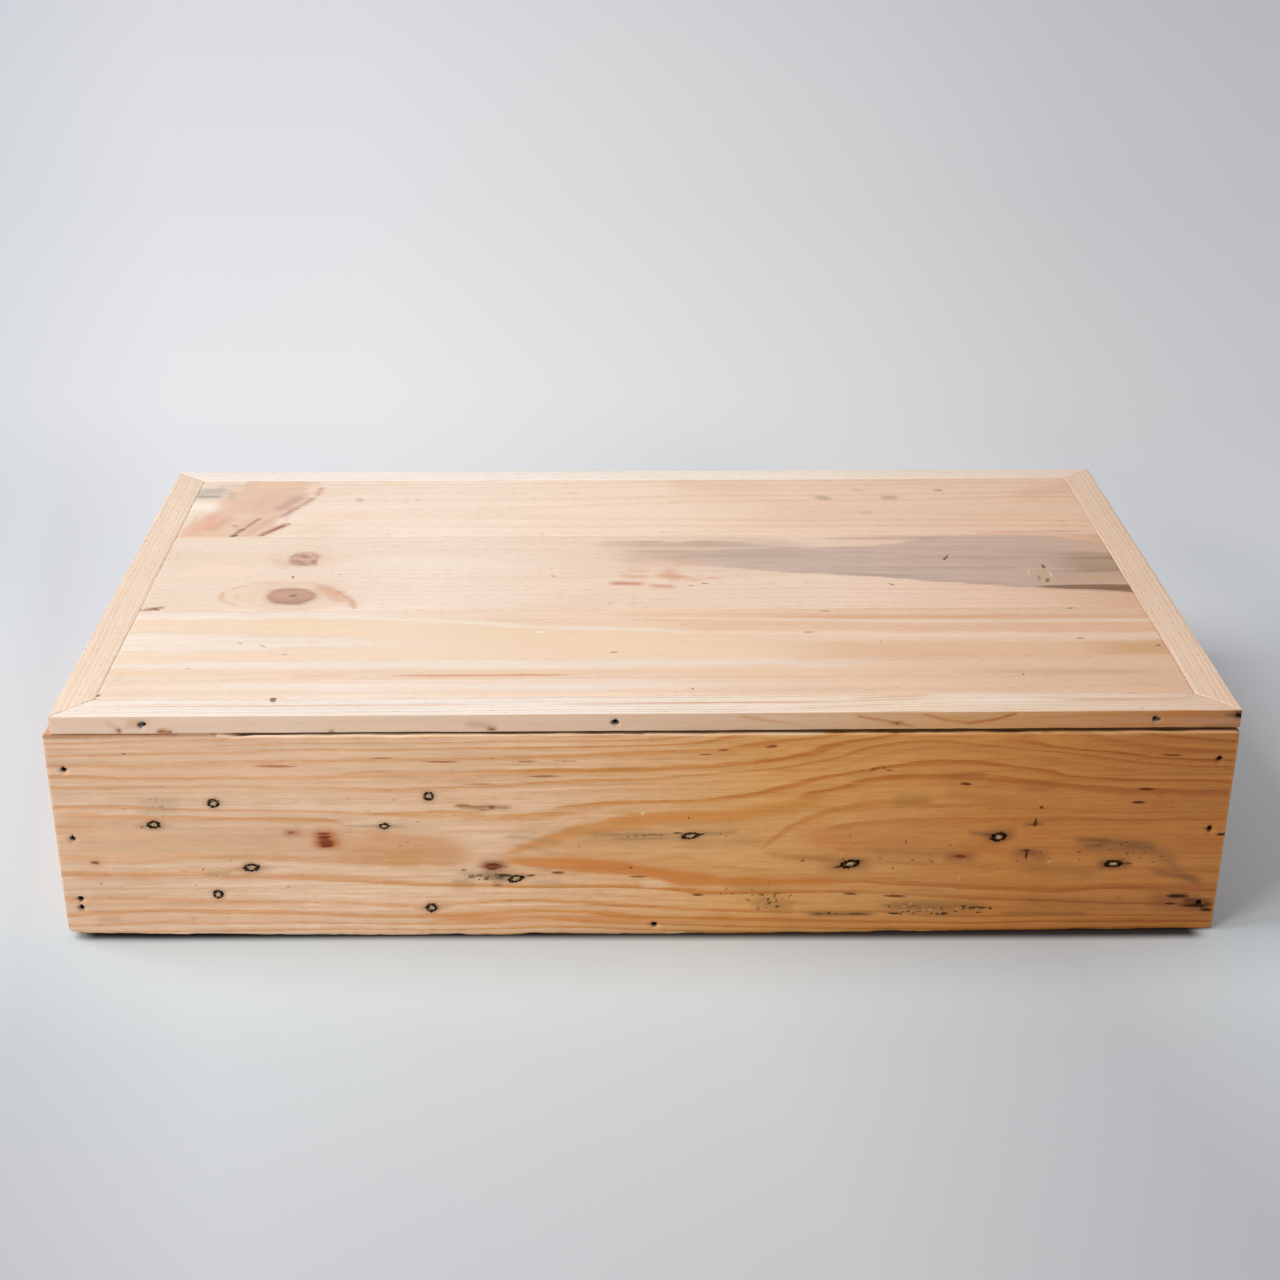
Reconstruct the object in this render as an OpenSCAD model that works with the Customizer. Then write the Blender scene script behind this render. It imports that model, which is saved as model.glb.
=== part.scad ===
// Wooden box with a loose lid, nailed together from reclaimed softwood boards.
// Millimetres. The origin is the middle of the underside, +X runs along the
// length, the front board faces -Y and the lid lifts along +Z.

/* [Box] */
// Length of the front and back boards
box_l = 600; // [500:1:760]
// Depth over the outer faces of the front and back boards
box_w = 352; // [300:1:440]
// Height of the walls
wall_h = 120; // [100:1:160]
// Thickness of the front and back boards
wall_t = 17; // [14:0.5:22]
// Thickness of the left and right end boards
end_t = 17; // [14:0.5:22]
// Radius worn on the long edges of the wall boards
wall_edge_r = 1.2; // [0.4:0.1:2.5]
// Thickness of the bottom planks
bottom_t = 12; // [8:0.5:16]
// Number of bottom planks laid side by side
bottom_planks = 3; // [3]

/* [Lid] */
// Thickness of the lid's strips and planks
lid_t = 10; // [8.5:0.5:14]
// How much shorter the lid is than the box at each end, when centred
lid_end_inset = 2; // [1:0.5:6]
// How far the lid's front and back edges lie behind the wall faces
lid_setback = 1; // [0:0.5:4]
// How far the loose lid lies to the right of the box's middle
lid_shift = 2; // [0:0.5:2.5]
// Width of the front strip of the lid's frame
front_strip_w = 20; // [14:0.5:28]
// Width of the back strip of the lid's frame
back_strip_w = 17; // [14:0.5:28]
// Width of the two side strips of the lid's frame
side_strip_w = 19; // [14:0.5:28]
// Radius worn on the outer edges of the lid's frame
strip_edge_r = 0.8; // [0.3:0.1:1.5]
// Radius worn on the edges of the lid and bottom planks
plank_edge_r = 0.4; // [0.2:0.1:1]

/* [Cleats] */
// Width of a cleat under the lid, along the box
cleat_w = 20; // [14:0.5:30]
// Thickness of a cleat, which is how far it reaches down into the box
cleat_t = 10; // [8:0.5:16]
// Play between a cleat and the walls round it, when the lid is centred
cleat_play = 3; // [3:0.5:6]

/* [Nails] */
// Radius of a nail's shank
nail_r = 0.8; // [0.6:0.1:1.1]
// Radius of a nail's head, and of the hole that it is punched into
nail_head_r = 1.5; // [1.3:0.1:2]
// Thickness of a nail's head
nail_head_t = 1; // [0.6:0.1:1.5]
// Length of a nail's point
nail_point_l = 2.4; // [1.6:0.1:3.2]
// Depth of a punched head's top below the surface
nail_sink = 1.5; // [0.5:0.1:2.5]
// How far a nail of the walls reaches into the board behind
wall_nail_bite = 23; // [14:1:30]
// How far a nail of the lid's frame reaches into the planks
strip_nail_bite = 13; // [9:1:18]
// How far a nail of a cleat reaches into the planks above it
cleat_nail_bite = 6; // [5:0.5:7]
// Radius of the sawn-off nails of the board's first use
old_nail_r = 1.3; // [1:0.1:1.7]

/* [Hidden] */

// Arcs of the worn edges and of the nails
$fn = 24;

// Overrun of a cut past the face that it opens
cut_over = 1;

// Spaces inside the walls
inner_l = box_l - 2 * end_t;
inner_w = box_w - 2 * wall_t;

// The lid's outer size, and the panel of planks that its frame goes round
lid_l = box_l - 2 * lid_end_inset;
lid_w = box_w - 2 * lid_setback;
panel_l = lid_l - 2 * side_strip_w;
panel_w = lid_w - front_strip_w - back_strip_w;
panel_y = -lid_w / 2 + front_strip_w;

// Bottom planks
bottom_plank_w = inner_w / bottom_planks;

// Cleats
cleat_l = inner_w - 2 * cleat_play;
cleat_x = inner_l / 2 - cleat_play - cleat_w / 2;

// Nails in the ends of the walls, as shares of the wall's height
front_left_nail_shares = [0.16, 0.205, 0.504, 0.837];
front_right_nail_shares = [0.14, 0.514, 0.855];
back_nail_shares = [0.15, 0.5, 0.84];

// Place of the nail into the bottom along the front and back boards, as a share of the length
front_bottom_nail_share = 0.009;
back_bottom_nail_share = -0.02;

// Sawn-off nails in the front board, as shares of its length and height
old_nail_shares = [
    [-0.416, 0.570],
    [-0.364, 0.675],
    [-0.336, 0.354],
    [-0.367, 0.225],
    [-0.221, 0.552],
    [-0.182, 0.697],
    [-0.184, 0.146],
    [-0.110, 0.289],
    [0.039, 0.497],
    [0.178, 0.352],
    [0.304, 0.482],
    [0.406, 0.342]
];

// Nails in the lid's frame, as shares of the lid's length and depth
front_strip_nail_shares = [-0.423, -0.028, 0.428];
back_strip_nail_shares = [-0.42, 0.01, 0.425];
side_strip_nail_shares = [-0.3, 0.31];

// Joints between the lid's planks, as shares of the panel's depth from its front
lid_joint_shares = [0, 0.343, 0.693, 1];

// Nails across a plank, as shares of the plank's width
plank_nail_shares = [0.25, 0.75];

// Colours of the boards, which differ because the wood is reclaimed
front_pine = "#c4925f";
pale_pine = "#dcc0a0";
lid_pine = "#e2cbb0";
strip_pine = "#e6d2ba";
bottom_pine = "#d0b08c";
steel = "#55504c";
old_steel = "#a59a8c";

// Outline of a board's end, with its corner at the origin and its four edges worn round
module eased_outline(w, h, r) {
    translate([r, 0])
        square([w - 2 * r, h]);
    translate([0, r])
        square([w, h - 2 * r]);
    for (x = [r, w - r])
        for (y = [r, h - r])
            translate([x, y])
                circle(r);
}

// Board along X, centred on x = 0, over y from 0 to w and z from 0 to t
module board(l, w, t, r) {
    translate([-l / 2, 0, 0])
        rotate([90, 0, 90])
            linear_extrude(l)
                eased_outline(w, t, r);
}

// Nail pointing up +Z, with the surface that it was driven through at z = 0
module nail(l) {
    translate([0, 0, nail_sink])
        cylinder(r = nail_head_r, h = nail_head_t);
    translate([0, 0, nail_sink])
        cylinder(r = nail_r, h = l - nail_point_l);
    translate([0, 0, nail_sink + l - nail_point_l])
        cylinder(r1 = nail_r, r2 = 0, h = nail_point_l);
}

// Hole that a driven and punched nail leaves
module nail_hole(l) {
    translate([0, 0, -cut_over])
        cylinder(r = nail_head_r, h = cut_over + nail_sink + nail_head_t);
    translate([0, 0, nail_sink])
        cylinder(r = nail_r, h = l - nail_point_l);
    translate([0, 0, nail_sink + l - nail_point_l])
        cylinder(r1 = nail_r, r2 = 0, h = nail_point_l);
}

// Length of a nail through a thickness t that bites into what lies behind
function nail_l(t, bite) = t - nail_sink + bite;
wall_nail_l = nail_l(wall_t, wall_nail_bite);
end_nail_l = nail_l(end_t, wall_nail_bite);
front_strip_nail_l = nail_l(front_strip_w, strip_nail_bite);
back_strip_nail_l = nail_l(back_strip_w, strip_nail_bite);
side_strip_nail_l = nail_l(side_strip_w, strip_nail_bite);
cleat_nail_l = nail_l(cleat_t, cleat_nail_bite);

// Places of the nails. Each module sets its children where a nail goes in

module at_front_board_nails() {
    for (share = front_left_nail_shares)
        translate([-(box_l - end_t) / 2, -box_w / 2, share * wall_h])
            rotate([-90, 0, 0])
                children();
    for (share = front_right_nail_shares)
        translate([(box_l - end_t) / 2, -box_w / 2, share * wall_h])
            rotate([-90, 0, 0])
                children();
}

module at_back_board_nails() {
    for (side = [-1, 1])
        for (share = back_nail_shares)
            translate([side * (box_l - end_t) / 2, box_w / 2, share * wall_h])
                rotate([90, 0, 0])
                    children();
}

module at_front_bottom_nail() {
    translate([front_bottom_nail_share * box_l, -box_w / 2, bottom_t / 2])
        rotate([-90, 0, 0])
            children();
}

module at_back_bottom_nail() {
    translate([back_bottom_nail_share * box_l, box_w / 2, bottom_t / 2])
        rotate([90, 0, 0])
            children();
}

// side is -1 at the left end and 1 at the right end
module at_end_bottom_nails(side) {
    for (i = [0:bottom_planks - 1])
        for (share = plank_nail_shares)
            translate([side * box_l / 2, -inner_w / 2 + (i + share) * bottom_plank_w, bottom_t / 2])
                rotate([0, -side * 90, 0])
                    children();
}

module at_old_nails() {
    for (place = old_nail_shares)
        translate([place.x * box_l, -box_w / 2, place.y * wall_h])
            rotate([-90, 0, 0])
                children();
}

module at_front_strip_nails() {
    for (share = front_strip_nail_shares)
        translate([lid_shift + share * lid_l, -lid_w / 2, wall_h + lid_t / 2])
            rotate([-90, 0, 0])
                children();
}

module at_back_strip_nails() {
    for (share = back_strip_nail_shares)
        translate([lid_shift + share * lid_l, lid_w / 2, wall_h + lid_t / 2])
            rotate([90, 0, 0])
                children();
}

module at_side_strip_nails(side) {
    for (share = side_strip_nail_shares)
        translate([lid_shift + side * lid_l / 2, share * lid_w, wall_h + lid_t / 2])
            rotate([0, -side * 90, 0])
                children();
}

module at_cleat_nails(side) {
    for (i = [0:len(lid_joint_shares) - 2])
        for (share = plank_nail_shares)
            translate([lid_shift + side * cleat_x, lid_plank_y(i) + share * lid_plank_w(i), wall_h - cleat_t])
                children();
}

// Front edge and width of a lid plank, counted from the front
function lid_plank_y(i) = panel_y + lid_joint_shares[i] * panel_w;
function lid_plank_w(i) = (lid_joint_shares[i + 1] - lid_joint_shares[i]) * panel_w;

// Walls

module front_board() {
    color(front_pine)
        difference() {
            translate([0, -box_w / 2, 0])
                board(box_l, wall_t, wall_h, wall_edge_r);
            at_front_board_nails()
                nail_hole(wall_nail_l);
            at_front_bottom_nail()
                nail_hole(wall_nail_l);
            at_old_nails()
                translate([0, 0, -cut_over])
                    cylinder(r = old_nail_r, h = wall_t + 2 * cut_over);
        }
}

module back_board() {
    color(pale_pine)
        difference() {
            translate([0, box_w / 2 - wall_t, 0])
                board(box_l, wall_t, wall_h, wall_edge_r);
            at_back_board_nails()
                nail_hole(wall_nail_l);
            at_back_bottom_nail()
                nail_hole(wall_nail_l);
        }
}

// An end board fits between the front and back boards, which are nailed to its ends
module end_board(side) {
    color(pale_pine)
        difference() {
            translate([side * (box_l - end_t) / 2 - end_t / 2, 0, 0])
                rotate([0, 0, 90])
                    translate([0, -end_t, 0])
                        board(inner_w, end_t, wall_h, wall_edge_r);
            at_front_board_nails()
                nail_hole(wall_nail_l);
            at_back_board_nails()
                nail_hole(wall_nail_l);
            at_end_bottom_nails(side)
                nail_hole(end_nail_l);
        }
}

// Bottom

module bottom_plank(i) {
    color(bottom_pine)
        difference() {
            translate([0, -inner_w / 2 + i * bottom_plank_w, 0])
                board(inner_l, bottom_plank_w, bottom_t, plank_edge_r);
            at_front_bottom_nail()
                nail_hole(wall_nail_l);
            at_back_bottom_nail()
                nail_hole(wall_nail_l);
            at_end_bottom_nails(-1)
                nail_hole(end_nail_l);
            at_end_bottom_nails(1)
                nail_hole(end_nail_l);
        }
}

// Nails of the walls and the bottom

module front_board_nails() {
    color(steel)
        at_front_board_nails()
            nail(wall_nail_l);
}

module back_board_nails() {
    color(steel)
        at_back_board_nails()
            nail(wall_nail_l);
}

module front_bottom_nail() {
    color(steel)
        at_front_bottom_nail()
            nail(wall_nail_l);
}

module back_bottom_nail() {
    color(steel)
        at_back_bottom_nail()
            nail(wall_nail_l);
}

module end_bottom_nails(side) {
    color(steel)
        at_end_bottom_nails(side)
            nail(end_nail_l);
}

// Shanks of the nails of the board's first use, sawn off and sanded flush on both faces
module front_board_old_nails() {
    color(old_steel)
        at_old_nails()
            cylinder(r = old_nail_r, h = wall_t);
}

// Lid

module lid_plank(i) {
    color(lid_pine)
        difference() {
            translate([lid_shift, lid_plank_y(i), wall_h])
                board(panel_l, lid_plank_w(i), lid_t, plank_edge_r);
            at_front_strip_nails()
                nail_hole(front_strip_nail_l);
            at_back_strip_nails()
                nail_hole(back_strip_nail_l);
            for (side = [-1, 1]) {
                at_side_strip_nails(side)
                    nail_hole(side_strip_nail_l);
                at_cleat_nails(side)
                    nail_hole(cleat_nail_l);
            }
        }
}

// Strip of the lid's frame along X with its outer edge on y = 0, mitred at both ends
// start_cut and end_cut are the widths of the strips that it meets at -X and at +X
module mitred_strip(l, w, start_cut, end_cut) {
    intersection() {
        board(l, w, lid_t, strip_edge_r);
        linear_extrude(lid_t)
            polygon([[-l / 2, 0], [l / 2, 0], [l / 2 - end_cut, w], [-l / 2 + start_cut, w]]);
    }
}

module lid_strip_front() {
    color(strip_pine)
        difference() {
            translate([lid_shift, -lid_w / 2, wall_h])
                mitred_strip(lid_l, front_strip_w, side_strip_w, side_strip_w);
            at_front_strip_nails()
                nail_hole(front_strip_nail_l);
        }
}

module lid_strip_back() {
    color(strip_pine)
        difference() {
            translate([lid_shift, lid_w / 2, wall_h])
                rotate([0, 0, 180])
                    mitred_strip(lid_l, back_strip_w, side_strip_w, side_strip_w);
            at_back_strip_nails()
                nail_hole(back_strip_nail_l);
        }
}

module lid_strip_left() {
    color(strip_pine)
        difference() {
            translate([lid_shift - lid_l / 2, 0, wall_h])
                rotate([0, 0, -90])
                    mitred_strip(lid_w, side_strip_w, back_strip_w, front_strip_w);
            at_side_strip_nails(-1)
                nail_hole(side_strip_nail_l);
        }
}

module lid_strip_right() {
    color(strip_pine)
        difference() {
            translate([lid_shift + lid_l / 2, 0, wall_h])
                rotate([0, 0, 90])
                    mitred_strip(lid_w, side_strip_w, front_strip_w, back_strip_w);
            at_side_strip_nails(1)
                nail_hole(side_strip_nail_l);
        }
}

module lid_front_strip_nails() {
    color(steel)
        at_front_strip_nails()
            nail(front_strip_nail_l);
}

module lid_back_strip_nails() {
    color(steel)
        at_back_strip_nails()
            nail(back_strip_nail_l);
}

module lid_side_strip_nails(side) {
    color(steel)
        at_side_strip_nails(side)
            nail(side_strip_nail_l);
}

// A cleat crosses the planks from below and keeps the loose lid in place between the walls
module lid_cleat(side) {
    color(bottom_pine)
        difference() {
            translate([lid_shift + side * cleat_x + cleat_w / 2, 0, wall_h - cleat_t])
                rotate([0, 0, 90])
                    board(cleat_l, cleat_w, cleat_t, plank_edge_r);
            at_cleat_nails(side)
                nail_hole(cleat_nail_l);
        }
}

module lid_cleat_nails(side) {
    color(steel)
        at_cleat_nails(side)
            nail(cleat_nail_l);
}

front_board();
back_board();
end_board(-1);  // left_end_board
end_board(1);  // right_end_board
bottom_plank(0);  // bottom_plank_front
bottom_plank(1);  // bottom_plank_middle
bottom_plank(2);  // bottom_plank_back
front_board_nails();
back_board_nails();
front_bottom_nail();
back_bottom_nail();
end_bottom_nails(-1);  // left_end_bottom_nails
end_bottom_nails(1);  // right_end_bottom_nails
front_board_old_nails();
lid_plank(0);  // lid_plank_front
lid_plank(1);  // lid_plank_middle
lid_plank(2);  // lid_plank_back
lid_strip_front();
lid_strip_back();
lid_strip_left();
lid_strip_right();
lid_front_strip_nails();
lid_back_strip_nails();
lid_side_strip_nails(-1);  // lid_left_strip_nails
lid_side_strip_nails(1);  // lid_right_strip_nails
lid_cleat(-1);  // lid_cleat_left
lid_cleat(1);  // lid_cleat_right
lid_cleat_nails(-1);  // lid_cleat_left_nails
lid_cleat_nails(1);  // lid_cleat_right_nails
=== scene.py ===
"""Looks of a nailed pine box with a loose framed lid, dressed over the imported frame.

Every board is described in its own board frame: along the grain, across its main face, and out of that face.
Lengths in this file are millimetres unless a name or a docstring says metres; meshes are made in metres.
"""
import logging
import math
from dataclasses import dataclass, field
from enum import Enum
from functools import partial
from typing import Any, Callable

import bpy
import numpy as np
from mathutils import Matrix, Vector


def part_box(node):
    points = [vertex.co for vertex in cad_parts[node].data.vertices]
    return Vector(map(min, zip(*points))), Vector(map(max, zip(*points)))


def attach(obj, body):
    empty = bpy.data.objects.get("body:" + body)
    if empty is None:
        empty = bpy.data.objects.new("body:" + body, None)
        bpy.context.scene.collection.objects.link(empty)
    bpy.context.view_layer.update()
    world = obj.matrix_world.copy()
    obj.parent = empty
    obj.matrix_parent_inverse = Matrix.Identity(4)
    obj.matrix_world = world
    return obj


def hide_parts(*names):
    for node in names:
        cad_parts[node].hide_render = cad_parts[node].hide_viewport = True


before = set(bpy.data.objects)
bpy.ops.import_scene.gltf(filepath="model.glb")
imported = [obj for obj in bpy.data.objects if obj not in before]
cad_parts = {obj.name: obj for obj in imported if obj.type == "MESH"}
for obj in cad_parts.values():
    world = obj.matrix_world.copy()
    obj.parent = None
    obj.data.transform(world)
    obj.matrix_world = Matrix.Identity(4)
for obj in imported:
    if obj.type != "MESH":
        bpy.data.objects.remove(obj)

log = logging.getLogger("pine_box")
MM = 0.001
Points = tuple[tuple[float, float], ...]
Holes = tuple[tuple[float, float, float, float], ...]
Tones = tuple[tuple[float, str], ...]
Array = np.ndarray
Adder = Callable[..., Any]


def linear(colour: str) -> tuple[float, float, float, float]:
    """Turns an sRGB hex colour into linear RGBA.

    Args:
        colour: six hex digits.
    Returns:
        The linear red, green and blue, with alpha 1.
    """
    parts = [int(colour[i:i + 2], 16) / 255.0 for i in (0, 2, 4)]
    made = [p / 12.92 if p <= 0.04045 else ((p + 0.055) / 1.055) ** 2.4 for p in parts]
    return made[0], made[1], made[2], 1.0


def flat(colour: str) -> Array:
    """Linear red, green and blue of an sRGB hex colour."""
    return np.array(linear(colour)[:3])


def smoothstep(low: float, high: float, x: Array) -> Array:
    """Cubic ramp from 0 at low to 1 at high: 3t^2 - 2t^3 of the clipped share t."""
    t = np.clip((x - low) / (high - low), 0.0, 1.0)
    return t * t * (3.0 - 2.0 * t)


def value_noise(a: Array, b: Array, cell_a: float, cell_b: float, seed: int) -> Array:
    """Smooth noise from -1 to 1: random values on a lattice, blended with a smoothstep in each direction.

    Args:
        a: first coordinate.
        b: second coordinate, same shape.
        cell_a: lattice pitch along a.
        cell_b: lattice pitch along b.
        seed: seed of the lattice values.
    Returns:
        The noise at each point.
    """
    table = np.random.default_rng(seed).uniform(-1.0, 1.0, (256, 256))
    x, y = np.asarray(a) / cell_a + 1000.5, np.asarray(b) / cell_b + 1000.5
    i, j = np.floor(x).astype(int), np.floor(y).astype(int)
    u, v = x - i, y - j
    u, v = u * u * (3.0 - 2.0 * u), v * v * (3.0 - 2.0 * v)
    i0, j0, i1, j1 = i % 256, j % 256, (i + 1) % 256, (j + 1) % 256
    low = table[i0, j0] * (1.0 - u) + table[i1, j0] * u
    high = table[i0, j1] * (1.0 - u) + table[i1, j1] * u
    return low * (1.0 - v) + high * v


def along_table(a: Array, places: Points) -> Array:
    """Reads a course, given as (along, value) points, at each a."""
    x, y = np.array(places, float).T
    return np.interp(a, x, y)


class Facing(Enum):
    """Which way a board lies: its directions along the grain, across the main face, and out of it."""

    FRONT = ((1, 0, 0), (0, 0, 1), (0, -1, 0))
    BACK = ((-1, 0, 0), (0, 0, 1), (0, 1, 0))
    LEFT = ((0, -1, 0), (0, 0, 1), (-1, 0, 0))
    RIGHT = ((0, 1, 0), (0, 0, 1), (1, 0, 0))
    UP = ((1, 0, 0), (0, 1, 0), (0, 0, 1))
    STRIP_BACK = ((-1, 0, 0), (0, -1, 0), (0, 0, 1))
    STRIP_LEFT = ((0, -1, 0), (1, 0, 0), (0, 0, 1))
    STRIP_RIGHT = ((0, 1, 0), (-1, 0, 0), (0, 0, 1))
    CLEAT = ((0, 1, 0), (1, 0, 0), (0, 0, -1))


@dataclass(frozen=True)
class BoardFrame:
    """A board's own coordinates, taken from the box of its CAD node.

    along runs from minus half the length to plus half, across from 0 at the near edge to the width, and out is 0 on
    the main face and negative inside the wood.
    """

    node: str
    facing: Facing
    length: float = field(init=False)
    width: float = field(init=False)
    depth: float = field(init=False)
    origin: Array = field(init=False)
    axes: Array = field(init=False)

    def __post_init__(self) -> None:
        """Works the sizes out of the node's box."""
        low, high = (np.array(p, float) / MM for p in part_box(self.node))
        axes = np.array(self.facing.value, float)
        size = np.abs(axes @ (high - low))
        origin = (low + high) / 2 - axes[1] * size[1] / 2 + axes[2] * size[2] / 2
        for name, value in zip(("length", "width", "depth", "origin", "axes"), (*size, origin, axes)):
            object.__setattr__(self, name, value)

    def world(self, abc: Array) -> Array:
        """Row-frame points in metres of board points in millimetres."""
        return (self.origin + abc @ self.axes) * MM

    def local(self, points: Array) -> Array:
        """Board points in millimetres of row-frame points in metres."""
        return (points / MM - self.origin) @ self.axes.T


def nail_places(node: str, board: BoardFrame) -> Array:
    """Finds where the nails of a CAD node stand on a board.

    The node's vertices are joined by place, each connected island takes the lowest label in it, and an island's
    middle is half way between its lowest and highest corner.

    Args:
        node: a node of separate nails.
        board: the board that they enter.
    Returns:
        One row of (along, across, out of its outer end) for each nail.
    """
    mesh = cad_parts[node].data
    co = np.zeros(len(mesh.vertices) * 3)
    mesh.vertices.foreach_get("co", co)
    ends = np.zeros(len(mesh.edges) * 2, np.int64)
    mesh.edges.foreach_get("vertices", ends)
    places, index = np.unique(np.round(co.reshape(-1, 3), 6), axis=0, return_inverse=True)
    first, second = index.reshape(-1)[ends].reshape(-1, 2).T
    labels = np.arange(len(places))
    while True:
        low = np.minimum(labels[first], labels[second])
        newer = labels.copy()
        np.minimum.at(newer, first, low)
        np.minimum.at(newer, second, low)
        newer = newer[newer]
        if np.array_equal(newer, labels):
            break
        labels = newer
    found = []
    for label in np.unique(labels):
        island = board.local(places[labels == label])
        middle = (island.min(0) + island.max(0)) / 2
        found.append((middle[0], middle[1], island[:, 2].max()))
    return np.array(found)


class Growth:
    """The annual rings of a board: a phase that grows by one from each ring to the next."""

    def phase(self, a: Array, b: Array, c: Array) -> Array:
        """Works the rings out, in each kind of growth its own way.

        Args:
            a: places along the board.
            b: places across it.
            c: places out of it.
        Returns:
            The ring phase at each point.
        """
        raise NotImplementedError


@dataclass(frozen=True)
class PithGrowth(Growth):
    """Rings of a sawn board, round a pith that lies behind the face and leans away from it.

    phase = sqrt((b - pith_b)^2 + (depth + lean * a + c)^2) / ring, where pith_b wanders along the board.
    """

    pith_b: float = 50.0
    depth: float = 20.0
    lean: float = 0.05
    ring: float = 4.5
    wander: float = 6.0
    seed: int = 1

    def phase(self, a: Array, b: Array, c: Array) -> Array:
        """Ring phase at board points, by the class's formula with noise on the pith's course and on the radius.

        Args:
            a: places along the board.
            b: places across it.
            c: places out of it.
        Returns:
            The ring phase at each point.
        """
        sway = self.wander * value_noise(a, a * 0, 160.0, 1.0, self.seed)
        sway = sway + 1.2 * value_noise(a, b, 70.0, 25.0, self.seed + 1)
        rise = self.depth + self.lean * a + 0.35 * self.wander * value_noise(a, b, 110.0, 60.0, self.seed + 2)
        radius = np.hypot(b - self.pith_b - sway, rise + c)
        return radius / self.ring + 0.25 * value_noise(radius, a, self.ring * 1.3, 400.0, self.seed + 3)


@dataclass(frozen=True)
class DrawnGrowth(Growth):
    """Rings that pass through given growth lines.

    A thin plate spline goes through the points of every line: the sum of r^2 log r from each point, weighted, plus a
    plane. r is measured with the board's length shortened, because grain lines run along it. Deeper in the wood the
    phase shifts evenly, which turns the lines into arcs on the board's ends.
    """

    lines: tuple[tuple[float, Points], ...]
    stretch: float = 7.0
    stiffness: float = 0.5
    depth_shift: float = 0.09

    def phase(self, a: Array, b: Array, c: Array) -> Array:
        """Ring phase at board points, from the spline through the lines, with a small wobble.

        Args:
            a: places along the board.
            b: places across it.
            c: places out of it.
        Returns:
            The ring phase at each point.
        """
        known = np.array([(x / self.stretch, z, n) for n, line in self.lines for x, z in line], float)
        count = len(known)

        def plate(p: Array, q: Array) -> Array:
            """r^2 log r between every p and every q."""
            square = (p[:, None, 0] - q[None, :, 0]) ** 2 + (p[:, None, 1] - q[None, :, 1]) ** 2
            return 0.5 * square * np.log(square + 1e-9)

        system = np.zeros((count + 3, count + 3))
        system[:count, :count] = plate(known, known) + self.stiffness * np.eye(count)
        system[:count, count:] = np.column_stack((np.ones(count), known[:, :2]))
        system[count:, :count] = system[:count, count:].T
        weights = np.linalg.solve(system, np.concatenate((known[:, 2], np.zeros(3))))
        points = np.column_stack((a.ravel() / self.stretch, b.ravel()))
        made = np.empty(len(points))
        for start in range(0, len(points), 20000):
            part = points[start:start + 20000]
            made[start:start + 20000] = (plate(part, known) @ weights[:count] + weights[count]
                                         + part @ weights[count + 1:])
        wobble = 0.10 * value_noise(a, b, 38.0, 4.0, 5) + 0.05 * value_noise(a, b, 12.0, 2.0, 6)
        return made.reshape(a.shape) + wobble + self.depth_shift * c


class Paint:
    """Colours laid over one another on a board's points, with the share of each point that they cover."""

    def __init__(self, count: int) -> None:
        """Starts bare, for count points."""
        self.colour = np.zeros((count, 3))
        self.cover = np.zeros(count)

    def lay(self, colour: Array, over: Array) -> None:
        """Lays a colour, one for all points or one for each, with the cover over."""
        self.colour = self.colour * (1 - over[:, None]) + colour * over[:, None]
        self.cover = self.cover * (1 - over) + over

    def dim(self, share: Array) -> None:
        """Leaves only a share of what is laid."""
        self.colour, self.cover = self.colour * share[:, None], self.cover * share

    def blended(self) -> Array:
        """Rows of red, green, blue and cover, the colour freed of its cover."""
        return np.column_stack((self.colour / np.maximum(self.cover, 1e-4)[:, None], self.cover))


@dataclass(frozen=True)
class Knot:
    """A branch cut across on the main face: an ellipse of its own rings, with the board's rings swept round it."""

    a: float
    b: float
    half_a: float
    half_b: float
    rim: str = "8a5a48"
    heart: str = "b98a76"
    strength: float = 0.8
    sweep: float = 2.2
    rings: float = 5.0
    halo: float = 0.3

    def reach(self, a: Array, b: Array) -> Array:
        """Share of the way from the knot's middle to its rim, a little uneven round it."""
        uneven = 0.10 * value_noise(a, b, self.half_a * 0.7, self.half_b * 0.6, int(self.a) + 900)
        return np.hypot((a - self.a) / self.half_a, (b - self.b) / self.half_b) * (1.0 + uneven)

    def bend(self, a: Array, b: Array) -> Array:
        """How far the board's rings are swept aside, as a bell round the knot."""
        return self.sweep * np.exp(-(np.hypot((a - self.a) / (2.6 * self.half_a),
                                              (b - self.b) / (1.9 * self.half_b))) ** 2)

    def paint(self, paint: Paint, far: Array) -> None:
        """Lays the knot's colours.

        The halo is fine lines round the rim. Inside, the heart's colour goes over into the rim's with the distance,
        and with the knot's own rings as a cosine.

        Args:
            paint: the board's paint.
            far: what reach gives.
        """
        lines = self.halo * (0.5 + 0.5 * np.cos(far * 7 * math.pi)) * smoothstep(1.0, 1.15, far)
        paint.lay(flat(self.rim), lines * (1.0 - smoothstep(1.3, 2.3, far)))
        shade = 0.5 + 0.5 * np.cos(far * 2 * math.pi * self.rings * 0.6)
        mixed = np.clip(0.6 * smoothstep(0.4, 1.0, far) + 0.35 * shade, 0.0, 1.0)[:, None]
        own = flat(self.rim) * mixed + flat(self.heart) * (1 - mixed)
        paint.lay(own, self.strength * (1.0 - smoothstep(0.78, 1.16, far)))


@dataclass(frozen=True)
class OldNail:
    """The sawn stub of an old nail: its place, and the half sizes and tilt of the black ring of rust round it."""

    a: float
    b: float
    half_a: float
    half_b: float
    tilt: float = 0.0

    def reach(self, a: Array, b: Array) -> Array:
        """Distance from the stub as a share of the ring's outer rim."""
        da, db = a - self.a, b - self.b
        return np.hypot(da / self.half_a, (db - self.tilt * da) / self.half_b)


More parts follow.
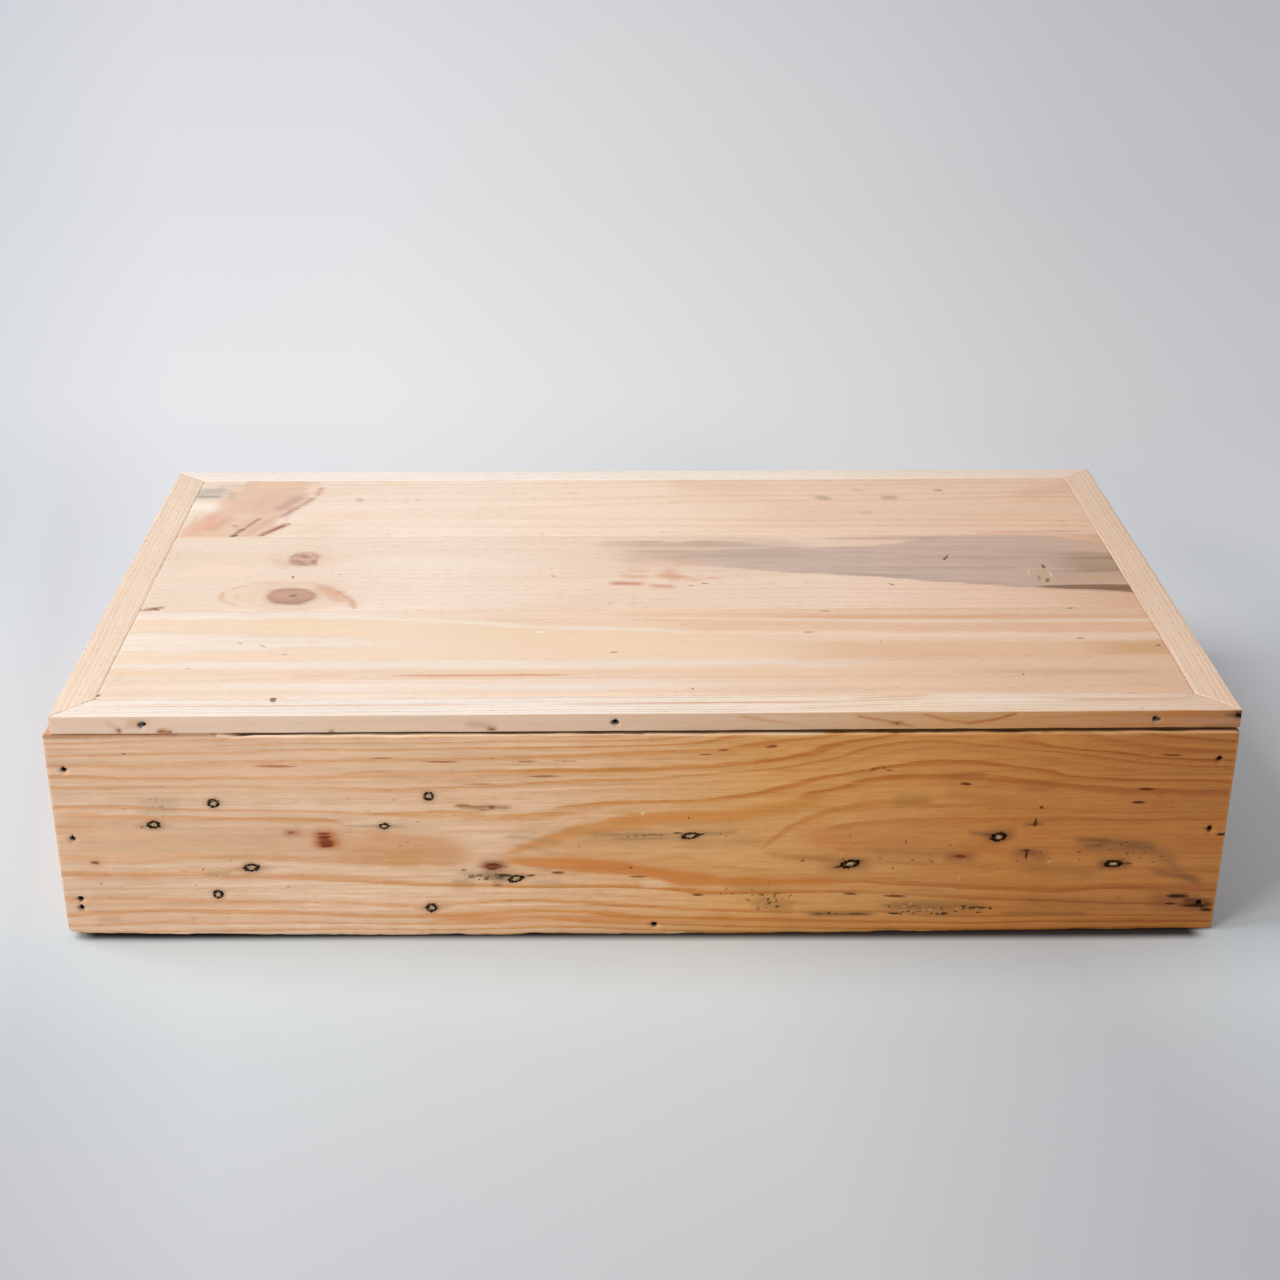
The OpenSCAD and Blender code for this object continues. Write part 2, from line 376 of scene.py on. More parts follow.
@dataclass(frozen=True)
class Stroke:
    """A straight stroke on the main face, with its points given as (along, across)."""

    start: tuple[float, float]
    end: tuple[float, float]
    radius: float

    def frame(self, a: Array, b: Array) -> tuple[Array, Array, float]:
        """Turns board points into the stroke's own directions.

        Args:
            a: places along the board.
            b: places across it.
        Returns:
            Distances along and across the stroke from its middle, and half its length.
        """
        (a0, b0), (a1, b1) = self.start, self.end
        length = math.hypot(a1 - a0, b1 - b0)
        ua, ub = ((a1 - a0) / length, (b1 - b0) / length) if length > 0.01 else (1.0, 0.0)
        da, db = a - (a0 + a1) / 2, b - (b0 + b1) / 2
        return da * ua + db * ub, db * ua - da * ub, length / 2


@dataclass(frozen=True)
class Stain(Stroke):
    """A soft patch of colour. Its cover falls off as a bell over the radius, and toward the ends of a long stroke."""

    colour: str = "b08060"
    cover: float = 0.6
    fade: float = 0.5

    def over(self, a: Array, b: Array) -> Array:
        """Works the cover out: the bell exp(-off^2) of the distance, times a cubic ramp over each end's last part.

        Args:
            a: places along the board.
            b: places across it.
        Returns:
            The cover at each point, from 0 to 1.
        """
        along, across, half = self.frame(a, b)
        beyond = np.abs(along) - half
        off = np.hypot(across, np.maximum(beyond, 0.0)) / self.radius
        off = off * (1.0 + 0.25 * value_noise(a, b, 9.0 * self.radius + 4.0, 1.0 + self.radius, 31))
        taper = 1.0 - smoothstep(-self.fade * half, 0.6 * self.radius, beyond) if half > 2 * self.radius else 1.0
        return self.cover * np.exp(-off ** 2) * taper


@dataclass(frozen=True)
class Band:
    """A field of colour between two given edges: (along, across) points, or (across, along) if upright."""

    low: Points
    high: Points
    colour: str
    cover: float = 0.6
    soft: float = 1.2
    fade: float = 8.0
    upright: bool = False

    def over(self, a: Array, b: Array) -> Array:
        """Works the cover out: cubic ramps, soft wide at each edge and fade wide at each end, on a wavering line.

        Args:
            a: places along the board.
            b: places across it.
        Returns:
            The cover at each point, from 0 to 1.
        """
        along, across = (b, a) if self.upright else (a, b)
        across = across + 0.8 * self.soft * value_noise(along, across, 16.0, 3.0, 53)
        above = smoothstep(-self.soft, self.soft, across - along_table(along, self.low))
        below = smoothstep(-self.soft, self.soft, along_table(along, self.high) - across)
        start, end = self.low[0][0], self.low[-1][0]
        reach = smoothstep(0.0, self.fade, along - start) * smoothstep(0.0, self.fade, end - along)
        return self.cover * above * below * reach


def band(rows: tuple[tuple[float, float, float], ...], *rest: Any) -> Band:
    """Makes a band from rows of a place with both edges there, and its other values."""
    return Band(tuple((a, low) for a, low, _ in rows), tuple((a, high) for a, _, high in rows), *rest)


@dataclass(frozen=True)
class Grit:
    """Specks sown at random in an oval, thickest in its middle."""

    a: float
    b: float
    half_a: float
    half_b: float
    count: int
    size: float
    colours: tuple[str, ...]
    seed: int

    def marks(self) -> tuple["Mark", ...]:
        """Sows the specks, each up to three times as long as it is thick.

        Returns:
            One mark for each speck.
        """
        rng = np.random.default_rng(self.seed)
        turn, far = rng.uniform(0, 2 * math.pi, self.count), rng.uniform(0, 1, self.count) ** 0.7
        a, b = self.a + self.half_a * far * np.cos(turn), self.b + self.half_b * far * np.sin(turn)
        size, reach = self.size * rng.uniform(0.6, 1.3, self.count), rng.uniform(0.0, 1.0, self.count) ** 2
        return tuple(Mark((x, z), (x + 3 * r * q, z), r, self.colours[k % len(self.colours)])
                     for k, (x, z, r, q) in enumerate(zip(a, b, size, reach)))


@dataclass(frozen=True)
class Mark(Stroke):
    """A crisp dark or pale mark, an oval with a ragged rim that the material draws."""

    colour: str = "3a2418"

    def cone(self, a: Array, b: Array) -> Array:
        """Cone over the oval: 1 in its middle, 0.5 on its rim, and 0 at twice its size."""
        along, across, half = self.frame(a, b)
        return np.clip(1.0 - 0.5 * np.hypot(along / (half + self.radius), across / self.radius), 0.0, 1.0)


@dataclass
class BoardShape:
    """The mesh of one board: a rounded section carried along it, closed by loops that step in at each end.

    cell, back_cell and side_cell are the mesh's steps on the main face, the back and the edges. Holes are rows of
    along, across (along, out in the near edge), radius and depth; face_grip has rows of along, across and reach where
    the mesh is drawn closer. near_lift and far_drop say how far the near and far edges stand in, and a chip is a row
    of along, whether it is on the far edge, its half length and its depth. A mitre is what an end gains in length per
    millimetre across.
    """

    board: BoardFrame
    cell: float = 1.5
    back_cell: float = 5.0
    edge: float = 1.0
    wear: float = 0.3
    mitre_low: float = 0.0
    mitre_high: float = 0.0
    holes: Holes = ()
    edge_holes: Holes = ()
    side_cell: float = 2.0
    face_grip: tuple[tuple[float, float, float], ...] = ()
    near_lift: Points = ()
    far_drop: Points = ()
    chips: tuple[tuple[float, bool, float, float], ...] = ()
    seed: int = 7
    arris_reach: float = 1.4
    corner_reach: float = 2.0

    def section(self) -> Array:
        """Draws the board's section with evenly spaced straight runs and a quarter circle at each corner.

        Returns:
            Points (across, out) of the main face first, then the far edge, the back and the near edge.
        """
        w, t, r = self.board.width, self.board.depth, self.edge
        turn = np.linspace(0.0, math.pi / 2, 4)[:-1]
        main = np.linspace(r, w - r, max(3, round((w - 2 * r) / self.cell)) + 1)[:-1]
        back = np.linspace(w - r, r, max(3, round((w - 2 * r) / self.back_cell)) + 1)[:-1]
        side = np.linspace(-r, -(t - r), max(3, round((t - 2 * r) / self.side_cell)) + 1)[:-1]
        runs = [
            np.column_stack((main, 0 * main)),
            np.column_stack((w - r + r * np.sin(turn), -r + r * np.cos(turn))),
            np.column_stack((w + 0 * side, side)),
            np.column_stack((w - r + r * np.cos(turn), -(t - r) - r * np.sin(turn))),
            np.column_stack((back, 0 * back - t)),
            np.column_stack((r - r * np.sin(turn), -(t - r) - r * np.cos(turn))),
            np.column_stack((0 * side, -t - side)),
            np.column_stack((r - r * np.cos(turn), -r + r * np.sin(turn))),
        ]
        return np.concatenate(runs)

    def grid(self) -> Array:
        """Carries the section along the board.

        The middle loops carry the whole section. Toward each end the section is pulled in by a growing inset: along a
        quarter circle for the eased end, then flat on the end face until it is nearly a line.

        Returns:
            Board points as loops by section points.
        """
        w, t, r, half = self.board.width, self.board.depth, self.edge, self.board.length / 2
        section = self.section()
        body = np.linspace(-(half - r), half - r, max(4, round((2 * half - 2 * r) / self.cell)) + 1)
        turn = np.linspace(0.0, math.pi / 2, 4)[1:]
        steps = np.linspace(r, min(w, t) / 2 - 0.2, max(3, round(min(w, t) / 4)) + 1)[1:]
        inset = np.concatenate((r * (1 - np.cos(turn)), steps))
        reach = np.concatenate((half - r + r * np.sin(turn), half + 0 * steps))
        a = np.concatenate((-reach[::-1], body, reach))
        d = np.concatenate((inset[::-1], 0 * body, inset))[:, None]
        b = np.clip(section[None, :, 0], d, w - d)
        c = np.clip(section[None, :, 1], -(t - d), -d)
        return np.stack((np.broadcast_to(a[:, None], b.shape), b, c), -1).copy()

    def gather(self, p: Array, places: tuple[tuple[float, float, float], ...], power: float) -> None:
        """Draws main-face points in toward each place: r becomes R (r / R)^power within a radius R.

        Args:
            p: board points, changed in place.
            places: rows of along, across and R.
            power: how strongly they are drawn in.
        """
        w = self.board.width
        for a0, b0, reach in places:
            da, db = p[..., 0] - a0, p[..., 1] - b0
            far = np.hypot(da, db)
            room = np.minimum(smoothstep(0.0, 1.0, p[..., 1]), smoothstep(0.0, 1.0, w - p[..., 1]))
            inner = np.abs(p[..., 0]) < self.board.length / 2 - 1
            on = (far < reach) & (p[..., 2] > -0.5 * self.board.depth) & inner
            pull = np.where(on, (np.maximum(far, 1e-6) / reach) ** (power - 1.0), 1.0)
            pull = 1.0 + (pull - 1.0) * room
            p[..., 0] = a0 + da * pull
            p[..., 1] = b0 + db * pull

    def points(self) -> Array:
        """Works the board's points out with wear, nail holes, lifted edges, chips and mitred ends.

        Returns:
            Board points as loops by section points.
        """
        p = self.grid()
        w, t, half = self.board.width, self.board.depth, self.board.length / 2
        self.gather(p, tuple((h[0], h[1], max(4.0, 2.6 * h[2])) for h in self.holes if 1.5 < h[1] < w - 1.5), 1.8)
        self.gather(p, self.face_grip, 1.6)
        a, b, c = p[..., 0], p[..., 1], p[..., 2]
        for a0, c0, radius, _ in self.edge_holes:
            da, dc = a - a0, c - c0
            far, reach = np.hypot(da, dc), 2.3 * radius
            pull = np.where((far < reach) & (b < 0.3 * w), (np.maximum(far, 1e-6) / reach) ** 0.7, 1.0)
            pull = 1.0 + (pull - 1.0) * smoothstep(0.3, 1.2, np.minimum(-c, t + c))
            p[..., 0], p[..., 2] = a0 + da * pull, c0 + dc * pull
        corner = np.hypot(np.minimum(b, w - b), np.minimum(-c, t + c))
        ends = np.hypot(np.minimum(half - np.abs(a), 50.0), np.minimum(np.minimum(b, w - b), np.minimum(-c, t + c)))
        rub = np.maximum(0.0, 0.35 + value_noise(a + 3 * c, b * 0.2 + c, 17.0, 9.0, self.seed)
                         + 0.5 * value_noise(a, b + c, 4.0, 5.0, self.seed + 1))
        amount = self.wear * rub * (np.exp(-(corner / self.arris_reach) ** 2)
                                    + 1.5 * np.exp(-(ends / self.corner_reach) ** 2))
        p[..., 1] += amount * np.sign(w / 2 - b) * (corner < 6)
        p[..., 2] += amount * np.sign(-t / 2 - c) * (corner < 6)
        p[..., 2] += 0.05 * value_noise(a, b, 60.0, 22.0, self.seed + 2) * (c > -0.3)
        if self.near_lift:
            lift = along_table(a, self.near_lift) + 0.12 * value_noise(a, a * 0, 7.0, 1.0, self.seed + 3)
            p[..., 1] += np.maximum(lift, 0.0) * (1.0 - smoothstep(0.0, 30.0, b))
        if self.far_drop:
            drop = along_table(a, self.far_drop) + 0.10 * value_noise(a, a * 0, 9.0, 1.0, self.seed + 4)
            p[..., 1] -= np.maximum(drop, 0.0) * smoothstep(w - 12.0, w, b)
        for place, far_edge, size, bite in self.chips:
            gap = (w - p[..., 1]) if far_edge else p[..., 1]
            hit = np.exp(-((a - place) / size) ** 2) * np.exp(-(gap / (1.2 * bite)) ** 2) * (c > -0.5 * t)
            p[..., 1] += (-1 if far_edge else 1) * bite * hit
            p[..., 2] -= 0.8 * bite * hit
        for a0, b0, radius, depth in self.holes:
            far = np.hypot(p[..., 0] - a0, p[..., 1] - b0)
            p[..., 2] -= depth * (1.0 - smoothstep(radius * 0.92, radius * 1.16, far)) * (c > -0.6)
        for a0, c0, radius, depth in self.edge_holes:
            far = np.hypot(p[..., 0] - a0, p[..., 2] - c0)
            p[..., 1] += depth * (1.0 - smoothstep(radius * 0.85, radius * 1.16, far)) * (p[..., 1] < 1.0)
        across = p[..., 1]
        short = np.where(a < 0, self.mitre_low, self.mitre_high) * across
        p[..., 0] *= 1.0 - short / half
        return p

    def mesh(self, name: str) -> tuple[bpy.types.Object, Array]:
        """Builds the closed mesh.

        Args:
            name: name of the piece.
        Returns:
            The piece and its vertices' board points, one row each.
        """
        p = self.points()
        loops, count = p.shape[:2]
        rows = p.reshape(-1, 3)
        i, j = np.meshgrid(np.arange(loops - 1), np.arange(count), indexing="ij")
        k = (j + 1) % count
        quads = np.stack((i * count + j, (i + 1) * count + j, (i + 1) * count + k, i * count + k), -1).reshape(-1, 4)
        low, high = np.arange(count), (loops - 1) * count + np.arange(count)[::-1]
        mesh = bpy.data.meshes.new(name)
        mesh.vertices.add(len(rows))
        mesh.vertices.foreach_set("co", self.board.world(rows).ravel())
        corners = np.concatenate((quads.ravel(), low, high))
        mesh.loops.add(len(corners))
        mesh.loops.foreach_set("vertex_index", corners)
        starts = np.concatenate((np.arange(len(quads)) * 4, [len(quads) * 4, len(quads) * 4 + count]))
        mesh.polygons.add(len(starts))
        mesh.polygons.foreach_set("loop_start", starts)
        mesh.update(calc_edges=True)
        mesh.validate()
        mesh.polygons.foreach_set("use_smooth", np.ones(len(mesh.polygons), bool))
        mesh.set_sharp_from_angle(angle=math.radians(50))
        piece = bpy.data.objects.new(name, mesh)
        bpy.context.scene.collection.objects.link(piece)
        return piece, rows


@dataclass
class Figure:
    """What the wood of one board shows: its growth, knots, stains and marks, kept as attributes of its mesh.

    ring is the growth phase, calm the share of a ring's contrast that is left where it lies nearly flat in the face,
    grain the board coordinates in metres swept round the knots, stain a colour with its cover, mark a colour with a
    cone that is 0.5 at the rim, and nail the distance from old nails as a share of their black rings.
    edge_stains_and_shade and edge_marks lie on the near edge and rim_painted_shade on the far edge, all as (along,
    out) with out below zero. That colour
    also holds painted light: highlights and shade lines laid like stains, painted shade in the gap under the lid on
    the far edge, and near-edge tones that are partly painted shade.
    """

    growth: Growth
    knots: tuple[Knot, ...] = ()
    stains: tuple[Stain | Band, ...] = ()
    marks: tuple[Mark, ...] = ()
    rings: tuple[OldNail, ...] = ()
    edge_stains_and_shade: tuple[Stain | Band, ...] = ()
    edge_marks: tuple[Mark, ...] = ()
    rim_painted_shade: tuple[Stain | Band, ...] = ()
    edge_tones_and_shade: Tones = ()
    edge_cover: float = 0.85
    # near black of the nail holes: partly rust, partly painted shade of the hole
    hole_rust_and_shade: str = "0a0604"
    calm: float = 0.3
    shift: tuple[float, float] = (0.0, 0.0)

    def write(self, mesh: bpy.types.Mesh, p: Array) -> None:
        """Works the attributes out and puts them in the mesh.

        Args:
            mesh: the board's mesh.
            p: its vertices as board points, one row each.
        """
        a, b, c = p[:, 0] + self.shift[0], p[:, 1] + self.shift[1], p[:, 2]
        phase = self.growth.phase(a, b, c)
        steep = np.hypot((self.growth.phase(a + 6.0, b, c) - phase) / 6.0,
                         (self.growth.phase(a, b + 1.2, c) - phase) / 1.2)
        calm = self.calm + (1.0 - self.calm) * smoothstep(0.01, 0.12, steep)
        paint = Paint(len(p))
        sweep = np.zeros(len(p))
        for knot in self.knots:
            far = knot.reach(a, b)
            bend = knot.bend(a, b)
            inside = 1.0 - smoothstep(0.92, 1.04, far)
            phase = (phase + bend) * (1.0 - inside) + inside * (far * knot.rings)
            sweep = sweep + 3.0 * bend
            knot.paint(paint, far)
        for stain in self.stains:
            paint.lay(flat(stain.colour), stain.over(a, b))
        face = c > -1.2
        paint.dim(np.where(face, 1.0, 0.4))
        self.paint_edges(paint, a, c, p[:, 1])
        cone, ink = np.zeros(len(p)), np.zeros((len(p), 3))
        for mark, across, where in ([(one, b, c > -2.5) for one in self.marks]
                                    + [(one, c, (p[:, 1] < 3.0) & (c < -0.2)) for one in self.edge_marks]):
            own = mark.cone(a, across) * where
            ink = np.where((own > cone)[:, None], flat(mark.colour), ink)
            cone = np.maximum(cone, own)
        nowhere = 9.0
        ring = np.full(len(p), nowhere)
        for old in self.rings:
            ring = np.minimum(ring, old.reach(a, b))
        ring = np.where(face, ring, nowhere)
        grain = np.column_stack((a, b + sweep, c)) * MM
        for name, kind, key, values in (
            ("ring", "FLOAT", "value", phase),
            ("calm", "FLOAT", "value", calm),
            ("nail", "FLOAT", "value", ring),
            ("grain", "FLOAT_VECTOR", "vector", grain),
            ("stain", "FLOAT_COLOR", "color", paint.blended()),
            ("mark", "FLOAT_COLOR", "color", np.column_stack((ink, cone))),
        ):
            mesh.attributes.new(name, kind, "POINT").data.foreach_set(key, np.ascontiguousarray(values).ravel())

    def paint_edges(self, paint: Paint, a: Array, c: Array, across: Array) -> None:
        """Lays the near edge's tones and stains and the far edge's stains; with them goes painted shade: near-edge
        tones partly darkened toward the right, a dark line along the lower rim and the dark of the gap under the lid.

        Args:
            paint: the board's paint.
            a: places along the board, with the shift.
            c: places out of it.
            across: places across it, without the shift.
        """
        if self.edge_tones_and_shade:
            places = [place for place, _ in self.edge_tones_and_shade]
            shades = np.array([flat(shade) for _, shade in self.edge_tones_and_shade])
            own = np.column_stack([np.interp(a, places, shades[:, k]) for k in range(3)])
            paint.lay(own, self.edge_cover * (1.0 - smoothstep(0.1, 0.8, across)) * smoothstep(0.0, 0.5, -c))
        # the near edge takes its stains and painted shade, the far edge the painted shade of the gap under the lid
        near = (across < 0.8) & (c < -0.3)
        far_edge = (across > across.max() - 3.0) & (c < -0.9)
        for stain, where in [(one, near) for one in self.edge_stains_and_shade] + [(one, far_edge) for one in self.rim_painted_shade]:
            paint.lay(flat(stain.colour), stain.over(a, c) * where)


def add_node(tree: bpy.types.NodeTree, kind: str, *feeds: Any, out: int | str = 0, **settings: Any) -> Any:
    """Adds a node, sets it up and feeds its inputs.

    Args:
        tree: the node tree.
        kind: Blender's name of the node, without its ShaderNode, and after a space its operation if it has one.
        feeds: what the inputs hold or which outputs feed them, in order, None to leave one alone; or one dictionary
            of such feeds by the input's name or number.
        out: the output to hand back, by name or number.
        settings: the node's properties; stops is a colour ramp's list of (place, hex colour or grey).
    Returns:
        The output, whose node has the others, or None for a node without one.
    """
    kind, *operation = kind.split()
    node = tree.nodes.new("ShaderNode" + kind)
    if operation:
        node.operation = operation[0]
    for name, value in settings.items():
        if name == "stops":
            ramp = node.color_ramp
            while len(ramp.elements) < len(value):
                ramp.elements.new(1.0)
            for element, (place, shade) in zip(ramp.elements, value):
                element.position = place
                element.color = linear(shade) if isinstance(shade, str) else (shade, shade, shade, 1.0)
        else:
            setattr(node, name, value)
    named = feeds[0] if feeds and isinstance(feeds[0], dict) else dict(enumerate(feeds))
    for key, value in named.items():
        if isinstance(value, bpy.types.NodeSocket):
            tree.links.new(value, node.inputs[key])
        elif value is not None:
            node.inputs[key].default_value = value
    return node.outputs[out] if len(node.outputs) else None


def new_material(name: str) -> tuple[bpy.types.Material, Adder]:
    """Makes an empty material.

    Args:
        name: name of the real finish.
    Returns:
        The material, and add_node for its tree.
    """
    material = bpy.data.materials.new(name)
    material.use_nodes = True
    material.node_tree.nodes.clear()
    return material, partial(add_node, material.node_tree)


# Settings of a Mix node: colours 6 and 7 blended by share 0, or 7 multiplied into 6 by that share.
MIXED = {"out": 2, "data_type": "RGBA"}
MULTIPLIED = {**MIXED, "blend_type": "MULTIPLY"}
# Patterns in pine as patches per metre along, across and through the board, with their detail and roughness: fibres
# 0.8 mm thick and less, streaks of 2 mm, blotches of 30 mm, mottle of 4 mm, the ragged rim of a mark, resin canals
# 7 mm long and 0.4 mm thick, and specks of 0.7 mm.
PINE_PATTERNS = (
    ((36.0, 1300.0, 1300.0), 3.0, 0.7), ((9.0, 480.0, 480.0), 3.0, 0.5), ((9.0, 34.0, 34.0), 2.0, 0.5),
    ((60.0, 260.0, 260.0), 2.0, 0.6), ((260.0, 1500.0, 1500.0), 1.0, 0.5), ((150.0, 2600.0, 900.0), 0.0, 0.5),
    ((700.0, 1500.0, 1500.0), 2.0, 0.6))
# How dark one year's ring is from its start to its end: pale early wood, then late wood that stops short.
RING_PROFILE = (
    (0.0, 0.26), (0.06, 0.03), (0.40, 0.08), (0.62, 0.32), (0.80, 0.82), (0.89, 1.0), (0.96, 0.80), (1.0, 0.26))


@dataclass(frozen=True)
class PineFinish:
    """Bare pine, planed and lightly sanded.

    The eye sees pale early wood that darkens slowly into thin brown late wood and stops short at the ring's end, fine
    fibres along the grain, short resin canals, and a dull surface with almost no shine. early and late are colours at
    places along the board from 0 to 1, each ring being about 3 to 6 mm wide.

    waver says how far fine and broad streaks shift a ring, as shares of its width, and run_out how far stains run out
    along the grain. A mark's cone is shaken by rim_swing and cut at rim_edge. soot_edges are the outer and the inner
    edge of the soot round an old nail, in shares of its black ring, and smoke is the reach of the smoke round it and
    how dark it gets.
    """

    name: str
    early: Tones
    late: Tones
    span: float = 600.0
    contrast: float = 0.8
    line: float = 0.9
    false_rings: float = 0.4
    fibre: float = 0.10
    streak: float = 0.12
    blotch: float = 0.10
    canals: float = 0.5
    roughness: float = 0.62
    warmth: tuple[float, float, float] = (0.75, 1.05, 1.55)
    resin: str = "a8744e"
    rust: str = "8f6a45"
    soot: str = "120d09"
    waver: tuple[float, float] = (0.05, 0.12)
    canal_edge: tuple[float, float] = (0.66, 0.74)
    run_out: float = 4.5
    rim_swing: float = 0.42
    rim_edge: tuple[float, float] = (0.42, 0.60)
    ink: float = 0.84
    soot_edges: tuple[tuple[float, float], ...] = ((1.24, 1.06), (0.44, 0.58))
    soot_cover: float = 0.98
    smoke: tuple[float, ...] = (2.3, 0.9, 0.0, 0.36)
    bump_depth: float = 0.00012

    def material(self) -> bpy.types.Material:
        """Builds the node tree, which reads the attributes that Figure writes.

        Returns:
            The material.
        """
        made, add = new_material(self.name)
        vector = add("Attribute", out="Vector", attribute_name="grain")
        phase, calm, nail = (add("Attribute", out="Fac", attribute_name=n) for n in ("ring", "calm", "nail"))
        stain, mark = (add("Attribute", attribute_name=n) for n in ("stain", "mark"))
        cover, cone = stain.node.outputs["Alpha"], mark.node.outputs["Alpha"]
        fine, broad, cloud, mottle, ragged, canal, speck = (
            add("TexNoise", add("VectorMath MULTIPLY", vector, patches), None, 1.0, detail, roughness)
            for patches, detail, roughness in PINE_PATTERNS)
        broad_swing, ragged_swing, speck_swing = (
            add("Math SUBTRACT", pattern, 0.5) for pattern in (broad, ragged, speck))

        # rings, each year of its own strength, with false rings that are fainter and three to a year
        wavered = add("Math MULTIPLY_ADD", ragged, self.waver[0], phase)
        wavered = add("Math MULTIPLY_ADD", broad, self.waver[1], wavered)
        turn = add("Math FRACT", wavered)
        luck = add("TexWhiteNoise", {"W": add("Math FLOOR", wavered)}, noise_dimensions="1D")
        false_turn = add("Math MULTIPLY_ADD", wavered, 3.0, 0.4)
        false_turn = add("Math FRACT", false_turn)
        false_turn = add("Math PINGPONG", false_turn, 0.5)
        late_share = add("ValToRGB", turn, stops=RING_PROFILE)
        late_share = add("Math MULTIPLY_ADD", false_turn, self.false_rings, late_share)
        strength = add("Math MULTIPLY_ADD", luck, self.line, 1.0 - self.line * 0.75)
        strength = add("Math MULTIPLY", strength, calm)
        strength = add("Math MULTIPLY", strength, self.contrast)
        ring_tone = add("Math MULTIPLY", late_share, strength)
        along = add("SeparateXYZ", vector)
        place = add("MapRange", along, -self.span * MM / 2, self.span * MM / 2)
        early, late = (add("ValToRGB", place, stops=stops) for stops in (self.early, self.late))
        colour = add("Mix", {0: ring_tone, 6: early, 7: late}, **MIXED)

        # fibres, streaks, blotches and mottle; darker ones are warmer too, as resin and sanding dust make them
        swings = ((broad, 2.2 * self.streak), (fine, 2.0 * self.fibre), (cloud, 1.6 * self.blotch),
                  (mottle, 1.2 * self.streak))
        tone = 1.0 - 0.5 * sum(swing for _, swing in swings)
        for pattern, swing in swings:
            tone = add("Math MULTIPLY_ADD", pattern, swing, tone)
        tint = add("VectorMath MULTIPLY_ADD", tone, self.warmth, tuple(1.0 - part for part in self.warmth))
        colour = add("Mix", {0: 1.0, 6: colour, 7: tint}, **MULTIPLIED)
        # resin canals, most in the late wood
        canal = add("MapRange", canal, *self.canal_edge)
        resinous = add("Math MULTIPLY_ADD", late_share, 0.6, 0.25)
        canal = add("Math MULTIPLY", canal, resinous)
        canal = add("Math MULTIPLY", canal, self.canals)
        colour = add("Mix", {0: canal, 6: colour, 7: linear(self.resin)}, **MULTIPLIED)
        # stains, with the painted light and shade that is laid like them, whose edges run out in streaks along the
        # grain
        soak = add("Math SUBTRACT", 1.0, cover)
        soak = add("Math MULTIPLY", cover, soak)
        streaks = add("Math ADD", broad, fine)
        streaks = add("Math MULTIPLY_ADD", streaks, self.run_out, -self.run_out)
        soak = add("Math MULTIPLY_ADD", soak, streaks, cover)
        stain = add("Mix", {0: 0.7, 6: stain, 7: tone}, **MULTIPLIED)
        colour = add("Mix", {0: soak, 6: colour, 7: stain}, **MIXED)
        # marks with a ragged rim
        shaken = add("Math MULTIPLY_ADD", speck_swing, self.rim_swing, cone)
        cut = add("MapRange", shaken, *self.rim_edge)
        inked = add("Math MULTIPLY", cut, self.ink)
        colour = add("Mix", {0: inked, 6: colour, 7: mark}, **MIXED)
        # old nails: brown smoke along the grain round a sooty ring
        halo = add("Math MULTIPLY_ADD", speck_swing, 1.5, nail)
        halo = add("Math MULTIPLY_ADD", ragged_swing, 0.5, halo)
        rim, heart = (add("MapRange", halo, *edge) for edge in self.soot_edges)
        soot = add("Math MULTIPLY", rim, heart)
        soot = add("Math MULTIPLY", soot, self.soot_cover)
        smoke = add("Math MULTIPLY_ADD", broad_swing, 1.2, nail)
        smoke = add("MapRange", smoke, *self.smoke)
        colour = add("Mix", {0: smoke, 6: colour, 7: linear(self.rust)}, **MULTIPLIED)
        colour = add("Mix", {0: soot, 6: colour, 7: linear(self.soot)}, **MIXED)

        height = 0.0
        for pattern, share in ((fine, 0.5), (ring_tone, 0.5), (cut, -1.2), (ragged, 0.35)):
            height = add("Math MULTIPLY_ADD", pattern, share, height)
        bump = add("Bump", {"Strength": 0.35, "Distance": self.bump_depth, "Height": height})
        dull = add("Math MULTIPLY_ADD", broad, 0.22, self.roughness - 0.11)
        dull = add("Math MULTIPLY_ADD", ring_tone, -0.08, dull)
        # soot and holes have no shine
        shine = add("MapRange", add("RGBToBW", colour), 0.03, 0.16, 0.02, 0.32)
        skin = add("BsdfPrincipled", {
            "Base Color": colour, "Roughness": dull, "Normal": bump, "IOR": 1.45, "Specular IOR Level": shine})
        add("OutputMaterial", skin)
        return made


@dataclass(frozen=True)
class SteelFinish:
    """Drawn steel wire, dulled and a little rusty: a soft grey shine that breaks up into brown patches."""

    name: str
    bright: str = "8d8a86"
    rust: str = "5a4335"
    roughness: float = 0.5
    rusty: float = 0.5
    metallic: float = 0.9
    shine: float = 0.5
    patches: float = 1600.0

    def material(self) -> bpy.types.Material:
        """Builds the node tree, with patches about 0.6 mm across.

        Returns:
            The material.
        """
        made, add = new_material(self.name)
        patch = add("TexNoise", add("TexCoord", out="Object"), None, self.patches, 3.0)
        share = add("MapRange", patch, 0.72 - 0.4 * self.rusty, 0.86 - 0.4 * self.rusty)
        colour = add("Mix", {0: share, 6: linear(self.bright), 7: linear(self.rust)}, **MIXED)
        metal = add("MapRange", share, 0.0, 1.0, self.metallic, 0.15 * self.metallic)
        rough = add("MapRange", patch, 0.0, 1.0, self.roughness - 0.1, self.roughness + 0.25)
        bump = add("Bump", {"Strength": 0.4, "Distance": 0.0001, "Height": patch})
        skin = add("BsdfPrincipled", {
            "Base Color": colour, "Metallic": metal, "Roughness": rough, "Normal": bump,
            "Specular IOR Level": self.shine})
        add("OutputMaterial", skin)
        return made


